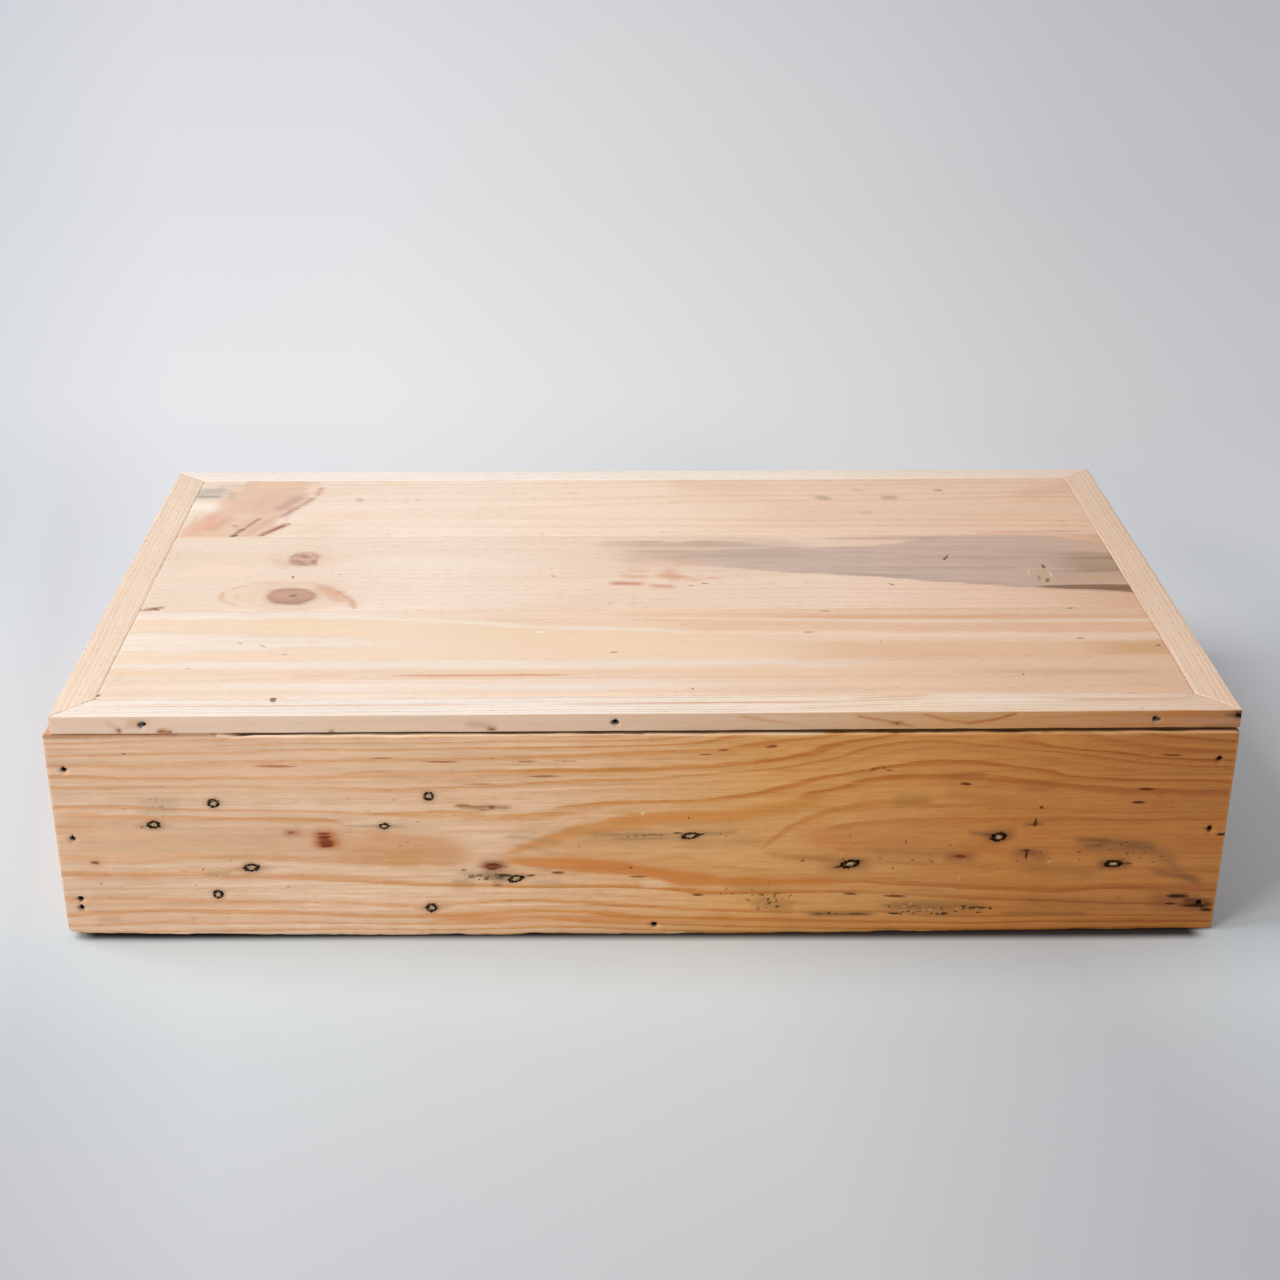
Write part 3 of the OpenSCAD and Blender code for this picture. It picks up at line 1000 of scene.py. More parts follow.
@dataclass
class Studio:
    """Pale paper floor, soft lamps and the camera at the photograph's place.

    Tones are colours at shares of a span in metres. floor_tones run from left to right, on the slant, and near_tones
    from front to back over the paper round the box; both are painted light and shade, the paper's colour following
    how the light falls on it. glow_tones and fade_tones are the same for the paper farther off, where the span from
    left to right is that of x / (y + vanish). shade_depths says how far out the painted shadow along the box's foot
    reaches, in metres from the box's middle line, at shares of its length.
    """

    lens_mm: float = 56.395
    camera_mm: tuple[float, float, float] = (-22.38, -1065.27, 585.13)
    down_deg: float = 24.978
    turn_deg: float = 1.273
    roll_deg: float = 0.240
    floor_reach: float = 7.0
    window_power: float = 24.4
    front_power: float = 12.9
    world_strength: float = 0.445
    # painted light and shade of the paper: its colour follows how light falls on it, darker toward the front
    floor_tones: Tones = (
        (0.0, "bbc0c6"), (0.14, "c9ced3"), (0.172, "d0d4d9"), (0.2, "cdd0d6"), (0.28, "dde1e6"), (0.5, "e6e8ec"),
        (0.65, "dadce1"), (0.75, "edeff2"), (0.83, "f3f4f6"), (0.925, "e5e8ec"), (1.0, "f0f2f5"))
    near_tones: Tones = (
        (0.0, "d2d2d2"), (0.225, "dbdbdb"), (0.31, "dfe0e0"), (0.41, "e3e7e7"), (0.5, "ebf2f2"), (0.6, "f5f8f8"),
        (0.8, "fcfcfc"), (1.0, "ffffff"))
    glow_tones: Tones = (
        (0.0, "dadde1"), (0.16, "e8e8eb"), (0.31, "e8e8ea"), (0.5, "e0e0e0"), (0.7, "d5d5d6"), (0.86, "cac9cc"),
        (1.0, "c3c3c7"))
    fade_tones: Tones = (
        (0.0, "ffffff"), (0.12, "ffffff"), (0.38, "f7f8f9"), (1.0, "f0f1f4"))
    haze: str = "d2d3d6"
    floor_span: tuple[float, float] = (-0.6, 0.6)
    near_span: tuple[float, float] = (-0.6, 0.2)
    glow_span: tuple[float, float] = (-0.3, 0.3)
    fade_span: tuple[float, float] = (0.4, 3.4)
    slant: float = 0.2
    vanish: float = 1.3
    glow_behind: tuple[float, float] = (0.16, 0.75)
    glow_around: tuple[float, float] = (0.6, 1.15)
    haze_around: tuple[float, float] = (4.4, 6.8)
    # painted shadow on the paper along the box's foot: its reach from the middle line, its ends, blur, cover and
    # colour
    shade_depths: tuple[tuple[float, float], ...] = (
        (0.0, 0.1795), (0.075, 0.1812), (0.3, 0.1820), (0.5, 0.1838), (0.7, 0.1855), (0.92, 0.1866), (1.0, 0.1866))
    shade_ends: tuple[float, float] = (0.2975, 0.2865)
    shade_blur: float = 0.0085
    shade_cover: float = 0.97
    shade: str = "2a211d"
    half_length: float = 0.3

    def camera(self) -> None:
        """Sets the camera: forward is turned and tipped down, then the picture is rolled about it."""
        pitch, yaw, roll = (math.radians(v) for v in (self.down_deg, self.turn_deg, self.roll_deg))
        forward = Vector((math.sin(yaw) * math.cos(pitch), math.cos(yaw) * math.cos(pitch), -math.sin(pitch)))
        side = Vector((math.cos(yaw), -math.sin(yaw), 0.0))
        up = side.cross(forward)
        right = side * math.cos(roll) + up * math.sin(roll)
        top = up * math.cos(roll) - side * math.sin(roll)
        data = bpy.data.cameras.new("camera")
        data.sensor_width = 36.0
        data.lens = self.lens_mm
        data.clip_end = 50.0
        seen = bpy.data.objects.new("camera", data)
        bpy.context.scene.collection.objects.link(seen)
        place = Matrix((right, top, -forward)).transposed().to_4x4()
        place.translation = Vector(self.camera_mm) * MM
        seen.matrix_world = place
        bpy.context.scene.camera = seen

    def lamp(self, name: str, place: tuple[float, float, float], aim: tuple[float, float, float], size: float,
             power: float, colour: str) -> None:
        """Adds one square soft lamp.

        Args:
            name: name of the lamp.
            place: where it stands, in metres.
            aim: the point that it faces, in metres.
            size: length of its side in metres.
            power: watts.
            colour: sRGB hex.
        """
        data = bpy.data.lights.new(name, "AREA")
        data.shape = "SQUARE"
        data.size = size
        data.energy = power
        data.color = linear(colour)[:3]
        lamp = bpy.data.objects.new(name, data)
        bpy.context.scene.collection.objects.link(lamp)
        lamp.location = place
        lamp.rotation_euler = (Vector(aim) - Vector(place)).to_track_quat("-Z", "Y").to_euler()

    def painted_foot_shadow(self, add: Adder, x: Any, y: Any) -> Any:
        """Works out a painted shadow along the box's foot, the shade in the gap that the uneven lower edges leave.

        It is a smooth ramp over shade_blur of the depth at x less the distance |y|, and it ends with the box. A depth
        d goes through its colour ramp as (d - 0.15) / 0.05, because a ramp holds 0 to 1.

        Args:
            add: add_node for the paper.
            x: output with the place along the box in metres.
            y: output with the place across it in metres.
        Returns:
            The output with the cover of the painted shadow.
        """
        low, span = 0.15, 0.05
        depths = tuple((place, (depth - low) / span) for place, depth in self.shade_depths)
        share = add("MapRange", x, -self.half_length, self.half_length)
        reach = add("Math MULTIPLY_ADD", add("ValToRGB", share, stops=depths), span, low)
        under = add("Math SUBTRACT", reach, add("Math ABSOLUTE", y))
        under = add("MapRange", under, 0.0, self.shade_blur, 0.0, self.shade_cover, interpolation_type="SMOOTHSTEP")
        along = add("Math ABSOLUTE", x)
        along = add("MapRange", along, *self.shade_ends, interpolation_type="SMOOTHSTEP")
        return add("Math MULTIPLY", under, along)

    def paper(self) -> bpy.types.Material:
        """Matt white paper, faintly blue.

        Near the box it is lit as it lies there, with painted light and shade in its colour and a painted shadow along
        the box's foot. Farther off it glows for the camera alone, in the tone of an evenly lit sheet, brightest to
        the left: the tone follows x / (y + vanish), fades with y and ends in haze.

        Returns:
            The material.
        """
        made, add = new_material("paper_backdrop")
        place = add("TexCoord", out="Object")
        x = add("SeparateXYZ", place)
        y = x.node.outputs["Y"]
        slant = add("Math MULTIPLY_ADD", y, self.slant, x)
        # the paper's colour, with the painted light and shade of floor_tones and near_tones
        drift = add("ValToRGB", add("MapRange", slant, *self.floor_span), stops=self.floor_tones)
        front = add("ValToRGB", add("MapRange", y, *self.near_span), stops=self.near_tones)
        drift = add("Mix", {0: 1.0, 6: drift, 7: front}, **MULTIPLIED)
        # painted shadow along the box's foot, laid over the paper's colour
        painted_shadow = self.painted_foot_shadow(add, x, y)
        drift = add("Mix", {0: painted_shadow, 6: drift, 7: linear(self.shade)}, **MIXED)
        tooth = add("TexNoise", place, None, 900.0, 2.0)
        bump = add("Bump", {"Strength": 0.05, "Distance": 0.0002, "Height": tooth})
        skin = add("BsdfPrincipled", {
            "Base Color": drift, "Roughness": 0.9, "Specular IOR Level": 0.1, "Normal": bump})

        away = add("Math MAXIMUM", add("Math ADD", y, self.vanish), 0.4)
        sweep = add("MapRange", add("Math DIVIDE", x, away), *self.glow_span)
        glow = add("ValToRGB", sweep, stops=self.glow_tones)
        fade = add("ValToRGB", add("MapRange", y, *self.fade_span), stops=self.fade_tones)
        tone = add("Mix", {0: 1.0, 6: glow, 7: fade}, **MULTIPLIED)
        radius = add("VectorMath LENGTH", place, out="Value")
        behind, around, hazy = (
            add("MapRange", value, *reach, interpolation_type="SMOOTHSTEP")
            for value, reach in ((y, self.glow_behind), (radius, self.glow_around), (radius, self.haze_around)))
        tone = add("Mix", {0: hazy, 6: tone, 7: linear(self.haze)}, **MIXED)
        light = add("Emission", tone, 1.0)
        seen = add("LightPath", out="Is Camera Ray")
        rays = seen.node.outputs
        for ray in ("Is Glossy Ray", "Is Transmission Ray"):
            seen = add("Math MAXIMUM", seen, rays[ray])
        far = add("Math MAXIMUM", behind, around)
        glowing = add("Math MULTIPLY", far, seen)
        add("OutputMaterial", add("MixShader", glowing, skin, light))
        return made

    def build(self) -> None:
        """Makes floor, lamps, world and camera."""
        self.camera()
        reach = self.floor_reach
        mesh = bpy.data.meshes.new("floor")
        mesh.from_pydata([(-reach, -reach, 0), (reach, -reach, 0), (reach, reach, 0), (-reach, reach, 0)], [],
                         [(0, 1, 2, 3)])
        floor = bpy.data.objects.new("floor", mesh)
        bpy.context.scene.collection.objects.link(floor)
        mesh.materials.append(self.paper())
        self.lamp("window_lamp", (-1.25, -0.05, 1.60), (0.0, 0.0, 0.05), 1.1, self.window_power, "fffcf8")
        self.lamp("front_lamp", (-1.05, -1.15, 0.75), (-0.1, -0.1, 0.05), 0.6, self.front_power, "fffaf4")
        world = bpy.data.worlds.new("studio")
        bpy.context.scene.world = world
        world.use_nodes = True
        world.node_tree.nodes.clear()
        add = partial(add_node, world.node_tree)
        back = add("Background", linear("eef2f8"), self.world_strength)
        haze = add("Background", linear(self.haze), 1.0)
        both = add("MixShader", add("LightPath", out="Is Camera Ray"), back, haze)
        add("OutputWorld", both)
        bpy.context.scene.view_settings.view_transform = "Standard"


def strokes(kind: type[Stroke], *rows: tuple) -> tuple[Any, ...]:
    """Makes stains or marks of a table.

    Args:
        kind: Stain or Mark.
        rows: along and across of the start, along and across of the end, then the kind's other values.
    Returns:
        One stroke for each row.
    """
    return tuple(kind((a0, b0), (a1, b1), *rest) for a0, b0, a1, b1, *rest in rows)


# Growth lines of the front board by number, each as (along, height) points in millimetres.
FRONT_LINES = (
    (3.0, ((-300, 71.5), (-275, 74.5), (-235, 74), (-200, 73.5), (-165, 72), (-142, 65), (-120, 62), (-105, 60),
        (-95, 54), (-86, 50.3), (-78, 48.5), (-70, 52), (-60, 56), (-45, 60), (-35, 64), (-25, 68), (-12, 71),
        (0, 74), (25, 74.5), (50, 74.5), (75, 79.5), (95, 88), (110, 93.5), (125, 96), (150, 95.7), (180, 97),
        (210, 90), (250, 87), (300, 86))),
    (4.0, ((-300, 80), (-225, 78), (-150, 76), (-100, 77), (-60, 75), (-25, 80.5), (0, 81.7), (40, 83.5), (70, 89.5),
        (100, 96.5), (130, 103), (155, 104), (190, 99.5), (218, 94.5), (270, 91.5), (300, 91))),
    (5.0, ((-300, 86), (-225, 85), (-150, 83.7), (-110, 82.5), (-60, 86.5), (0, 88.7), (35, 93), (70, 97),
        (110, 105.5), (150, 110.7), (195, 106.5), (225, 101.5), (260, 96), (300, 94.5))),
    (6.0, ((-300, 92.5), (-225, 91.5), (-150, 90.2), (-80, 90.5), (-30, 93.3), (0, 94), (60, 98.5), (100, 106),
        (145, 115), (170, 112.7), (185, 110.5), (225, 106), (260, 101), (300, 99))),
    (7.0, ((-300, 98), (-250, 96.5), (-200, 97), (-150, 98.5), (-60, 100), (0, 101.5), (40, 103), (80, 109.5),
        (120, 118), (150, 122), (195, 118), (220, 109.5), (260, 105), (300, 103))),
    (8.0, ((-300, 104.5), (-225, 106), (-150, 107), (-80, 107.5), (0, 109.7), (60, 114.5), (90, 118), (230, 118),
        (260, 112), (300, 109))),
    (9.0, ((-300, 109.5), (-225, 111), (-150, 112), (-75, 112.5), (0, 113), (20, 114), (40, 117.5), (260, 118),
        (300, 114))),
    (10.0, ((-300, 113.5), (-150, 115.5), (0, 116.5), (30, 120), (300, 119))),
    (11.0, ((-300, 116.2), (-150, 118), (0, 119.5))),
    (2.45, ((-290, 60), (-240, 60), (-190, 60), (-290, 53), (-240, 53), (-190, 53), (-150, 52), (-120, 50), (0, 62),
        (30, 63), (0, 54), (30, 54))),
    (2.2, ((45, 56), (100, 84), (125, 87), (150, 86.5))),
    (2.0, ((60, 50), (70, 61), (78, 66), (85, 70), (92, 73.5), (100, 76), (120, 80), (150, 79), (190, 80.5),
        (230, 73.5), (300, 72.5), (72, 45.5), (85, 44), (100, 43), (120, 41.5), (140, 37), (165, 38), (210, 34.5),
        (240, 37), (300, 35))),
    (1.0, ((83, 57), (90, 64.5), (100, 67), (120, 68.5), (150, 70.5), (225, 70), (300, 69), (92, 54), (100, 50),
        (150, 47.5), (225, 46), (300, 44))),
    (0.6, ((130, 58), (200, 58), (270, 57))),
    (3.0, ((-300, 46), (-260, 45.5), (-220, 47), (-185, 45.5), (-150, 43.5), (-110, 42), (-85, 40), (-70, 37),
        (-30, 37), (0, 38), (25, 34), (60, 32), (120, 30), (150, 28), (220, 22.7), (240, 24), (300, 23))),
    (4.0, ((-300, 37), (-230, 38), (-200, 35), (-150, 33), (-130, 31), (-100, 29.7), (-50, 29), (0, 27.5), (20, 24.7),
        (100, 24.5), (150, 21.3), (200, 18), (250, 16), (300, 14.5))),
    (5.0, ((-300, 29.5), (-260, 29), (-200, 27), (-150, 25.5), (-110, 23), (-70, 25.3), (0, 21.7), (40, 18.7),
        (100, 16.5), (150, 14.5), (200, 13), (300, 11.5))),
    (6.0, ((-300, 22), (-270, 23), (-200, 21.5), (-150, 19), (-130, 17.5), (-80, 20), (0, 16), (40, 13.5), (120, 12),
        (150, 9.7), (225, 9), (300, 8.5))),
    (7.0, ((-300, 13), (-270, 14.5), (-200, 14), (-150, 11.7), (-80, 11.7), (-40, 13), (-10, 10), (60, 7.5),
        (110, 5.5), (150, 5), (300, 4.5))),
    (8.0, ((-300, 7.5), (-225, 8), (-150, 7.7), (-80, 7.2), (-50, 9.3), (-10, 6), (60, 3.5), (120, 1.5), (300, 0))),
    (9.0, ((-300, 3), (-150, 4), (-50, 4.5), (0, 2.5))),
)


OLD_NAILS = (
    OldNail(-249.5, 68.6, 3.1, 2.1), OldNail(-218.3, 80.8, 2.8, 2.3), OldNail(-202.0, 42.8, 3.8, 2.2, 0.03),
    OldNail(-220.3, 26.9, 2.6, 2.2), OldNail(-132.7, 66.8, 2.5, 1.6), OldNail(-109.4, 84.0, 2.4, 2.3),
    OldNail(-110.4, 17.7, 2.7, 2.4), OldNail(-66.3, 34.9, 3.9, 1.9, 0.20), OldNail(23.6, 59.8, 4.4, 1.8, 0.14),
    OldNail(106.6, 42.3, 4.6, 2.3, 0.15), OldNail(182.6, 57.8, 3.9, 2.4, 0.10), OldNail(243.5, 41.2, 4.4, 2.0),
)

# Knots, rust streaks, dirt and darker patches of the front board, with painted highlights on its top and right
# arrises and a painted shade line along its top at the left, as (along, height) in millimetres.
FRONT_STAINS_AND_PAINTED_LIGHT = strokes(Stain,
    (-300, 58, -150, 57, 10, "cc9f78", 0.5, 0.2), (-165, 53, -84, 48, 6.5, "cd9666", 0.6),
    (-150, 63, -90, 57, 4, "cd9666", 0.45), (-74, 50, -22, 69, 2.2, "d58c50", 0.6),
    (-24, 69, 60, 72, 2.6, "d48545", 0.5), (-78, 47, -33, 45, 3, "d4894c", 0.6), (-45, 46, 4, 40, 4, "ce7f3e", 0.6),
    (-4, 40, 42, 33, 3.6, "cc7b3a", 0.6), (36, 33, 110, 30, 2.6, "c87634", 0.5),
    (-300, 13, -40, 13, 2.4, "cf9a70", 0.35, 0.2), (-120, 11, 10, 10.5, 3, "d7894a", 0.45),
    (84, 60, 104, 52, 6, "d38041", 0.35), (-166, 61.8, -161, 61.8, 3.2, "b45c26", 0.75),
    (-166, 57, -159, 57, 3.8, "b45e28", 0.75), (-165, 60, -162, 60, 2, "924318", 0.6),
    (-165, 55.8, -161, 55.8, 2, "924318", 0.6), (-182, 61, -178, 60, 4, "d8a888", 0.4),
    (-182, 63.3, -177, 63.3, 2.4, "b86c47", 0.65), (-80.5, 42.3, -75.5, 42.3, 3.5, "7a3414", 0.85),
    (-78, 40, -70, 38, 5, "b27643", 0.4), (-77, 31.3, -75, 31.2, 1.6, "81452d", 0.6),
    (-97, 78.2, -80, 76.6, 1.3, "a5723d", 0.75), (-86, 77.6, -66, 77, 1.2, "926030", 0.75),
    (-128, 47, -119, 47, 4.2, "cc9752", 0.5), (-100, 33, -87, 31, 2.6, "aa815b", 0.5),
    (-258, 82, -234, 82, 2.4, "b29577", 0.4), (-258, 76, -234, 77.5, 2.6, "b29577", 0.36),
    (-227, 39, -211, 39.4, 1.8, "ad9770", 0.55), (-150, 66, -100, 67, 2.2, "bb9777", 0.35),
    (-98, 38, -70, 36, 2.2, "86684a", 0.38), (-84, 36.5, -70, 35.5, 1.5, "54402c", 0.6),
    (-61, 32, -40, 31, 3, "a58766", 0.3), (-34, 61.2, 21, 60.6, 0.9, "6c5034", 0.5),
    (-20, 58.4, 19, 58.3, 0.9, "7c5c3a", 0.45), (-40, 58.5, 20, 59, 4.4, "a57a4a", 0.32),
    (27, 61, 50, 61.8, 1.4, "715836", 0.45), (20, 55, 60, 57, 3.2, "aa7a47", 0.3),
    (-74, 61, -40, 56, 1.4, "aa8763", 0.45), (-70, 56, -44, 50, 1.5, "af8961", 0.45),
    (-70, 64, -20, 64, 3, "bb9161", 0.3), (56, 20, 78, 16, 4.5, "926a38", 0.42), (40, 30, 76, 24, 4, "9d6e38", 0.35),
    (98, 42, 112, 42, 6, "845d34", 0.36), (76, 47, 100, 46, 2.4, "926738", 0.35),
    (110, 49, 170, 46, 4.5, "9d6a38", 0.3), (120, 17, 186, 14.5, 3.4, "7c542c", 0.6),
    (82, 12, 124, 11.6, 1.4, "533721", 0.65), (180, 12, 240, 11, 1.4, "714629", 0.45),
    (180, 18, 270, 16, 4, "83502d", 0.3), (126, 80, 146, 79, 4, "946536", 0.4), (150, 84, 190, 79, 3, "996436", 0.3),
    (221, 56, 242, 55.4, 1.1, "5e4026", 0.6), (230, 54.2, 264, 53.4, 1.3, "644428", 0.55),
    (226, 52, 240, 51.6, 1, "644428", 0.5), (244, 51.8, 267, 50.6, 1.4, "6c4a2c", 0.5),
    (222, 52, 264, 50, 4.4, "7f5330", 0.45), (190, 40, 240, 36, 4, "8e5f38", 0.35),
    (262, 50, 272, 44, 4, "815736", 0.45), (262, 37, 292, 31, 1.8, "70462b", 0.55),
    (272, 42, 294, 25, 2.4, "815232", 0.4), (262, 20, 300, 13, 5.5, "714225", 0.46),
    (281, 18.8, 300, 16.5, 2.4, "382018", 0.75), (274, 21.4, 286, 21.2, 1.6, "41261a", 0.75),
    (292, 12.6, 300, 12.4, 1.6, "3d2418", 0.6), (174, 59, 192, 60.5, 3.8, "765234", 0.45),
    (166, 61, 180, 59, 1.2, "4e3927", 0.55), (234, 41, 254, 41.5, 3.4, "704c30", 0.46),
    (194, 47.5, 206, 46.5, 3.4, "83482d", 0.5), (159, 46.3, 168, 46.2, 3, "8d4425", 0.6),
    (206, 65.2, 194, 64.8, 1.5, "7c4522", 0.6), (193, 50, 204, 48.6, 1.5, "7c4522", 0.5),
    (190, 88, 210, 86, 4, "9d5b2c", 0.35), (150, 92, 175, 94, 2.6, "945629", 0.35),
    (-282, 46, -280, 46, 3, "c48159", 0.5), (-281, 12, -274, 12, 2.6, "b2875f", 0.4),
    (-234, 11, -234, 11.8, 1.8, "cc8d61", 0.45), (-121, 17.4, -99, 17.6, 0.9, "92784c", 0.6),
    (-216, 42, -188, 42.8, 1.3, "947a59", 0.4), (-262, 67.6, -238, 67.4, 1.2, "9e8164", 0.45),
    # rows from -206 and 90 along the top edge, and from 299.6 on the right end: painted highlights on lit arrises;
    # row from -301: a painted shade line under the lid
    (-156, 66.9, -118, 66.8, 0.7, "6e523c", 0.4), (-206, 119.1, 90, 118.6, 0.9, "fbdcb8", 0.8, 0),
    (90, 118.6, 300, 118.2, 0.9, "eebd86", 0.6, 0), (-301, 119.9, -214, 119.9, 1.5, "8e6240", 0.8, 0),
    (299.6, 4, 299.6, 117, 0.7, "e8964a", 0.6, 0), (-300, 37.2, -150, 36.4, 1.8, "cf9468", 0.5, 0.2),
    (-300, 22, -170, 20.8, 1.3, "cf9468", 0.5, 0.2), (-298, 74.4, -272, 74.6, 1.6, "d79a68", 0.5),
)

FRONT_MARKS = strokes(Mark,
    (-166.5, 62.6, -160.4, 62.4, 0.8, "7a3a20"), (-166, 60.2, -161, 60.4, 1, "74341c"),
    (-166.5, 57.6, -159.4, 57.8, 0.9, "7c3a22"), (-165, 55.4, -160, 55.6, 1.1, "6c3018"),
    (-181.5, 63.4, -179, 63.4, 0.8, "94502f"), (-80.6, 43.4, -75.4, 43.2, 1.1, "5c2616"),
    (-80, 41.2, -76.4, 41.4, 1.1, "522012"), (-86, 42.6, -70, 42.2, 0.6, "8a4c30"),
    (-283.3, 46.7, -280, 46.1, 1, "7c4630"), (161, 46.5, 166, 46.2, 1.1, "6a2e1a"),
    (-97, 77.9, -72, 77.2, 0.5, "a5703a"), (-79, 77.7, -76.4, 77.4, 1, "80522a"),
    (-96, 79.2, -88, 78.6, 0.4, "b07c48"), (-84, 75.6, -78, 75.4, 0.4, "b07c48"),
    (-48, 38.4, -41, 38.3, 0.8, "6a3520"), (-256, 67.2, -255.6, 67.2, 0.8, "8a6440"),
    (-227, 42, -227, 42, 0.7, "6a4a34"), (-212.5, 47, -212, 47, 0.7, "7a5a40"),
    (-184, 31.3, -184, 31.3, 0.7, "7a5034"), (-231.5, 32.5, -231.5, 32.5, 0.7, "8a6444"),
    (-261, 109.5, -260, 109.5, 0.7, "8f6748"), (-280, 34, -279.6, 34, 0.7, "8a6a50"), (46, 25, 46, 25, 0.8, "6a4424"),
    (82, 44.5, 82, 44.5, 1, "7a3c1e"), (135, 55.5, 135, 55.5, 0.8, "5f3f22"), (129, 39.5, 129, 39.5, 0.8, "5f3f22"),
    (202.8, 75.2, 203.4, 75.2, 1, "5a2c18"), (22.5, 70.5, 22.7, 70.6, 0.7, "5a3a1e"),
    (-7.5, 41.2, -6.5, 41.2, 0.8, "7a4a28"), (-1, 73, -0.8, 73.6, 0.8, "ead2ac"), (-8, 35.6, 2, 35.4, 0.6, "8a4a28"),
    (25, 24.4, 31, 24.2, 0.8, "5c2c14"), (103, 24.4, 112, 24.1, 0.7, "5a2810"), (125, 22.9, 137, 22.2, 0.8, "5a2810"),
    (161, 89.3, 166, 89, 0.9, "4e1e12"), (252, 85.6, 260, 85.3, 0.8, "4a1c10"), (250, 77.9, 256, 77.5, 0.9, "42180f"),
    (200.9, 64.6, 201.1, 68.4, 0.8, "3d1a14"), (198.5, 65.1, 203, 65.4, 0.6, "54281a"),
    (197.8, 44.6, 198, 49.2, 0.8, "4a1e16"), (195.5, 49.5, 199.4, 49.5, 0.6, "4a2018"),
    (198, 41.6, 198.2, 43.6, 0.5, "5a2c1c"), (296, 58.6, 300, 58.3, 1, "241812"),
    (283, 15.3, 296, 15.1, 0.9, "2a1a14"), (293, 12.8, 299, 12.6, 0.7, "33201a"), (274, 21.4, 284, 21.2, 1, "3a1c16"),
    (273, 16.8, 279, 16.6, 0.7, "3a261c"), (115, 98.6, 121, 99.2, 0.6, "8a5420"),
    (120, 98.6, 127, 96.4, 0.6, "8a5420"), (113, 96.4, 117, 97.6, 0.5, "8a5420"),
    (26, 106.6, 34, 107.1, 0.5, "8a4a28"), (37, 109.4, 43, 109.7, 0.6, "8a4020"), (60, 110.8, 67, 111, 0.6, "8a3a20"),
    (63, 112.2, 66, 112.2, 0.4, "8a3a20"), (261, 105, 274, 104.6, 0.6, "70391f"),
    (258, 106.6, 266, 106.4, 0.4, "7c4424"), (-198, 103.4, -181, 103.2, 0.5, "b8714a"),
    (-196, 101.8, -174, 101.4, 0.6, "b06a44"), (-66, 103.5, -52, 103.4, 0.6, "a8623a"),
    (-48, 103.6, -28, 103.3, 0.5, "a8623a"), (-138, 106, -124, 105.5, 0.5, "a8623a"),
    (-112, 104, -90, 103.2, 0.6, "a05a34"), (-60, 95.4, -42, 95.1, 0.5, "a05a34"),
    (-97, 91.2, -72, 91, 0.4, "b06c44"), (209.6, 42.6, 210.4, 43.4, 0.6, "e0bc8a"),
    (163.5, 33, 164, 33.2, 0.6, "e0c49a"), (12, 0.6, 21, 0.9, 0.9, "f0d9ae"), (86, 12.3, 94, 12, 0.4, "4a3418"),
    (106, 11.7, 118, 11.5, 0.5, "4a3418"), (128, 12.3, 134, 11.8, 0.8, "2a1c10"),
    (154, 11.7, 159, 11.4, 0.9, "2a1c10"), (170, 15.3, 180, 15, 0.7, "3a2816"), (136, 17, 144, 16.4, 0.5, "4a3420"),
    (-90, 36.6, -82, 36.4, 0.5, "7a6044"), (-76, 37.4, -68, 36.8, 0.9, "2c2016"), (-77, 35.2, -72, 35, 0.6, "4a3826"),
    (-60.8, 36.6, -56, 37.2, 0.6, "2c2418"), (15, 61.6, 20, 61.2, 0.6, "40341f"), (28, 60.4, 31, 61, 0.6, "33280f"),
    (98, 40.2, 103, 40.8, 0.7, "2c2414"), (109, 44.4, 112, 44.6, 0.6, "33281a"),
    (248, 41.6, 254, 41.4, 0.6, "33281a"), (230, 54.9, 240, 54.6, 0.4, "6a4c30"), (-10, 61, 12, 60.6, 0.4, "7c5a36"),
)

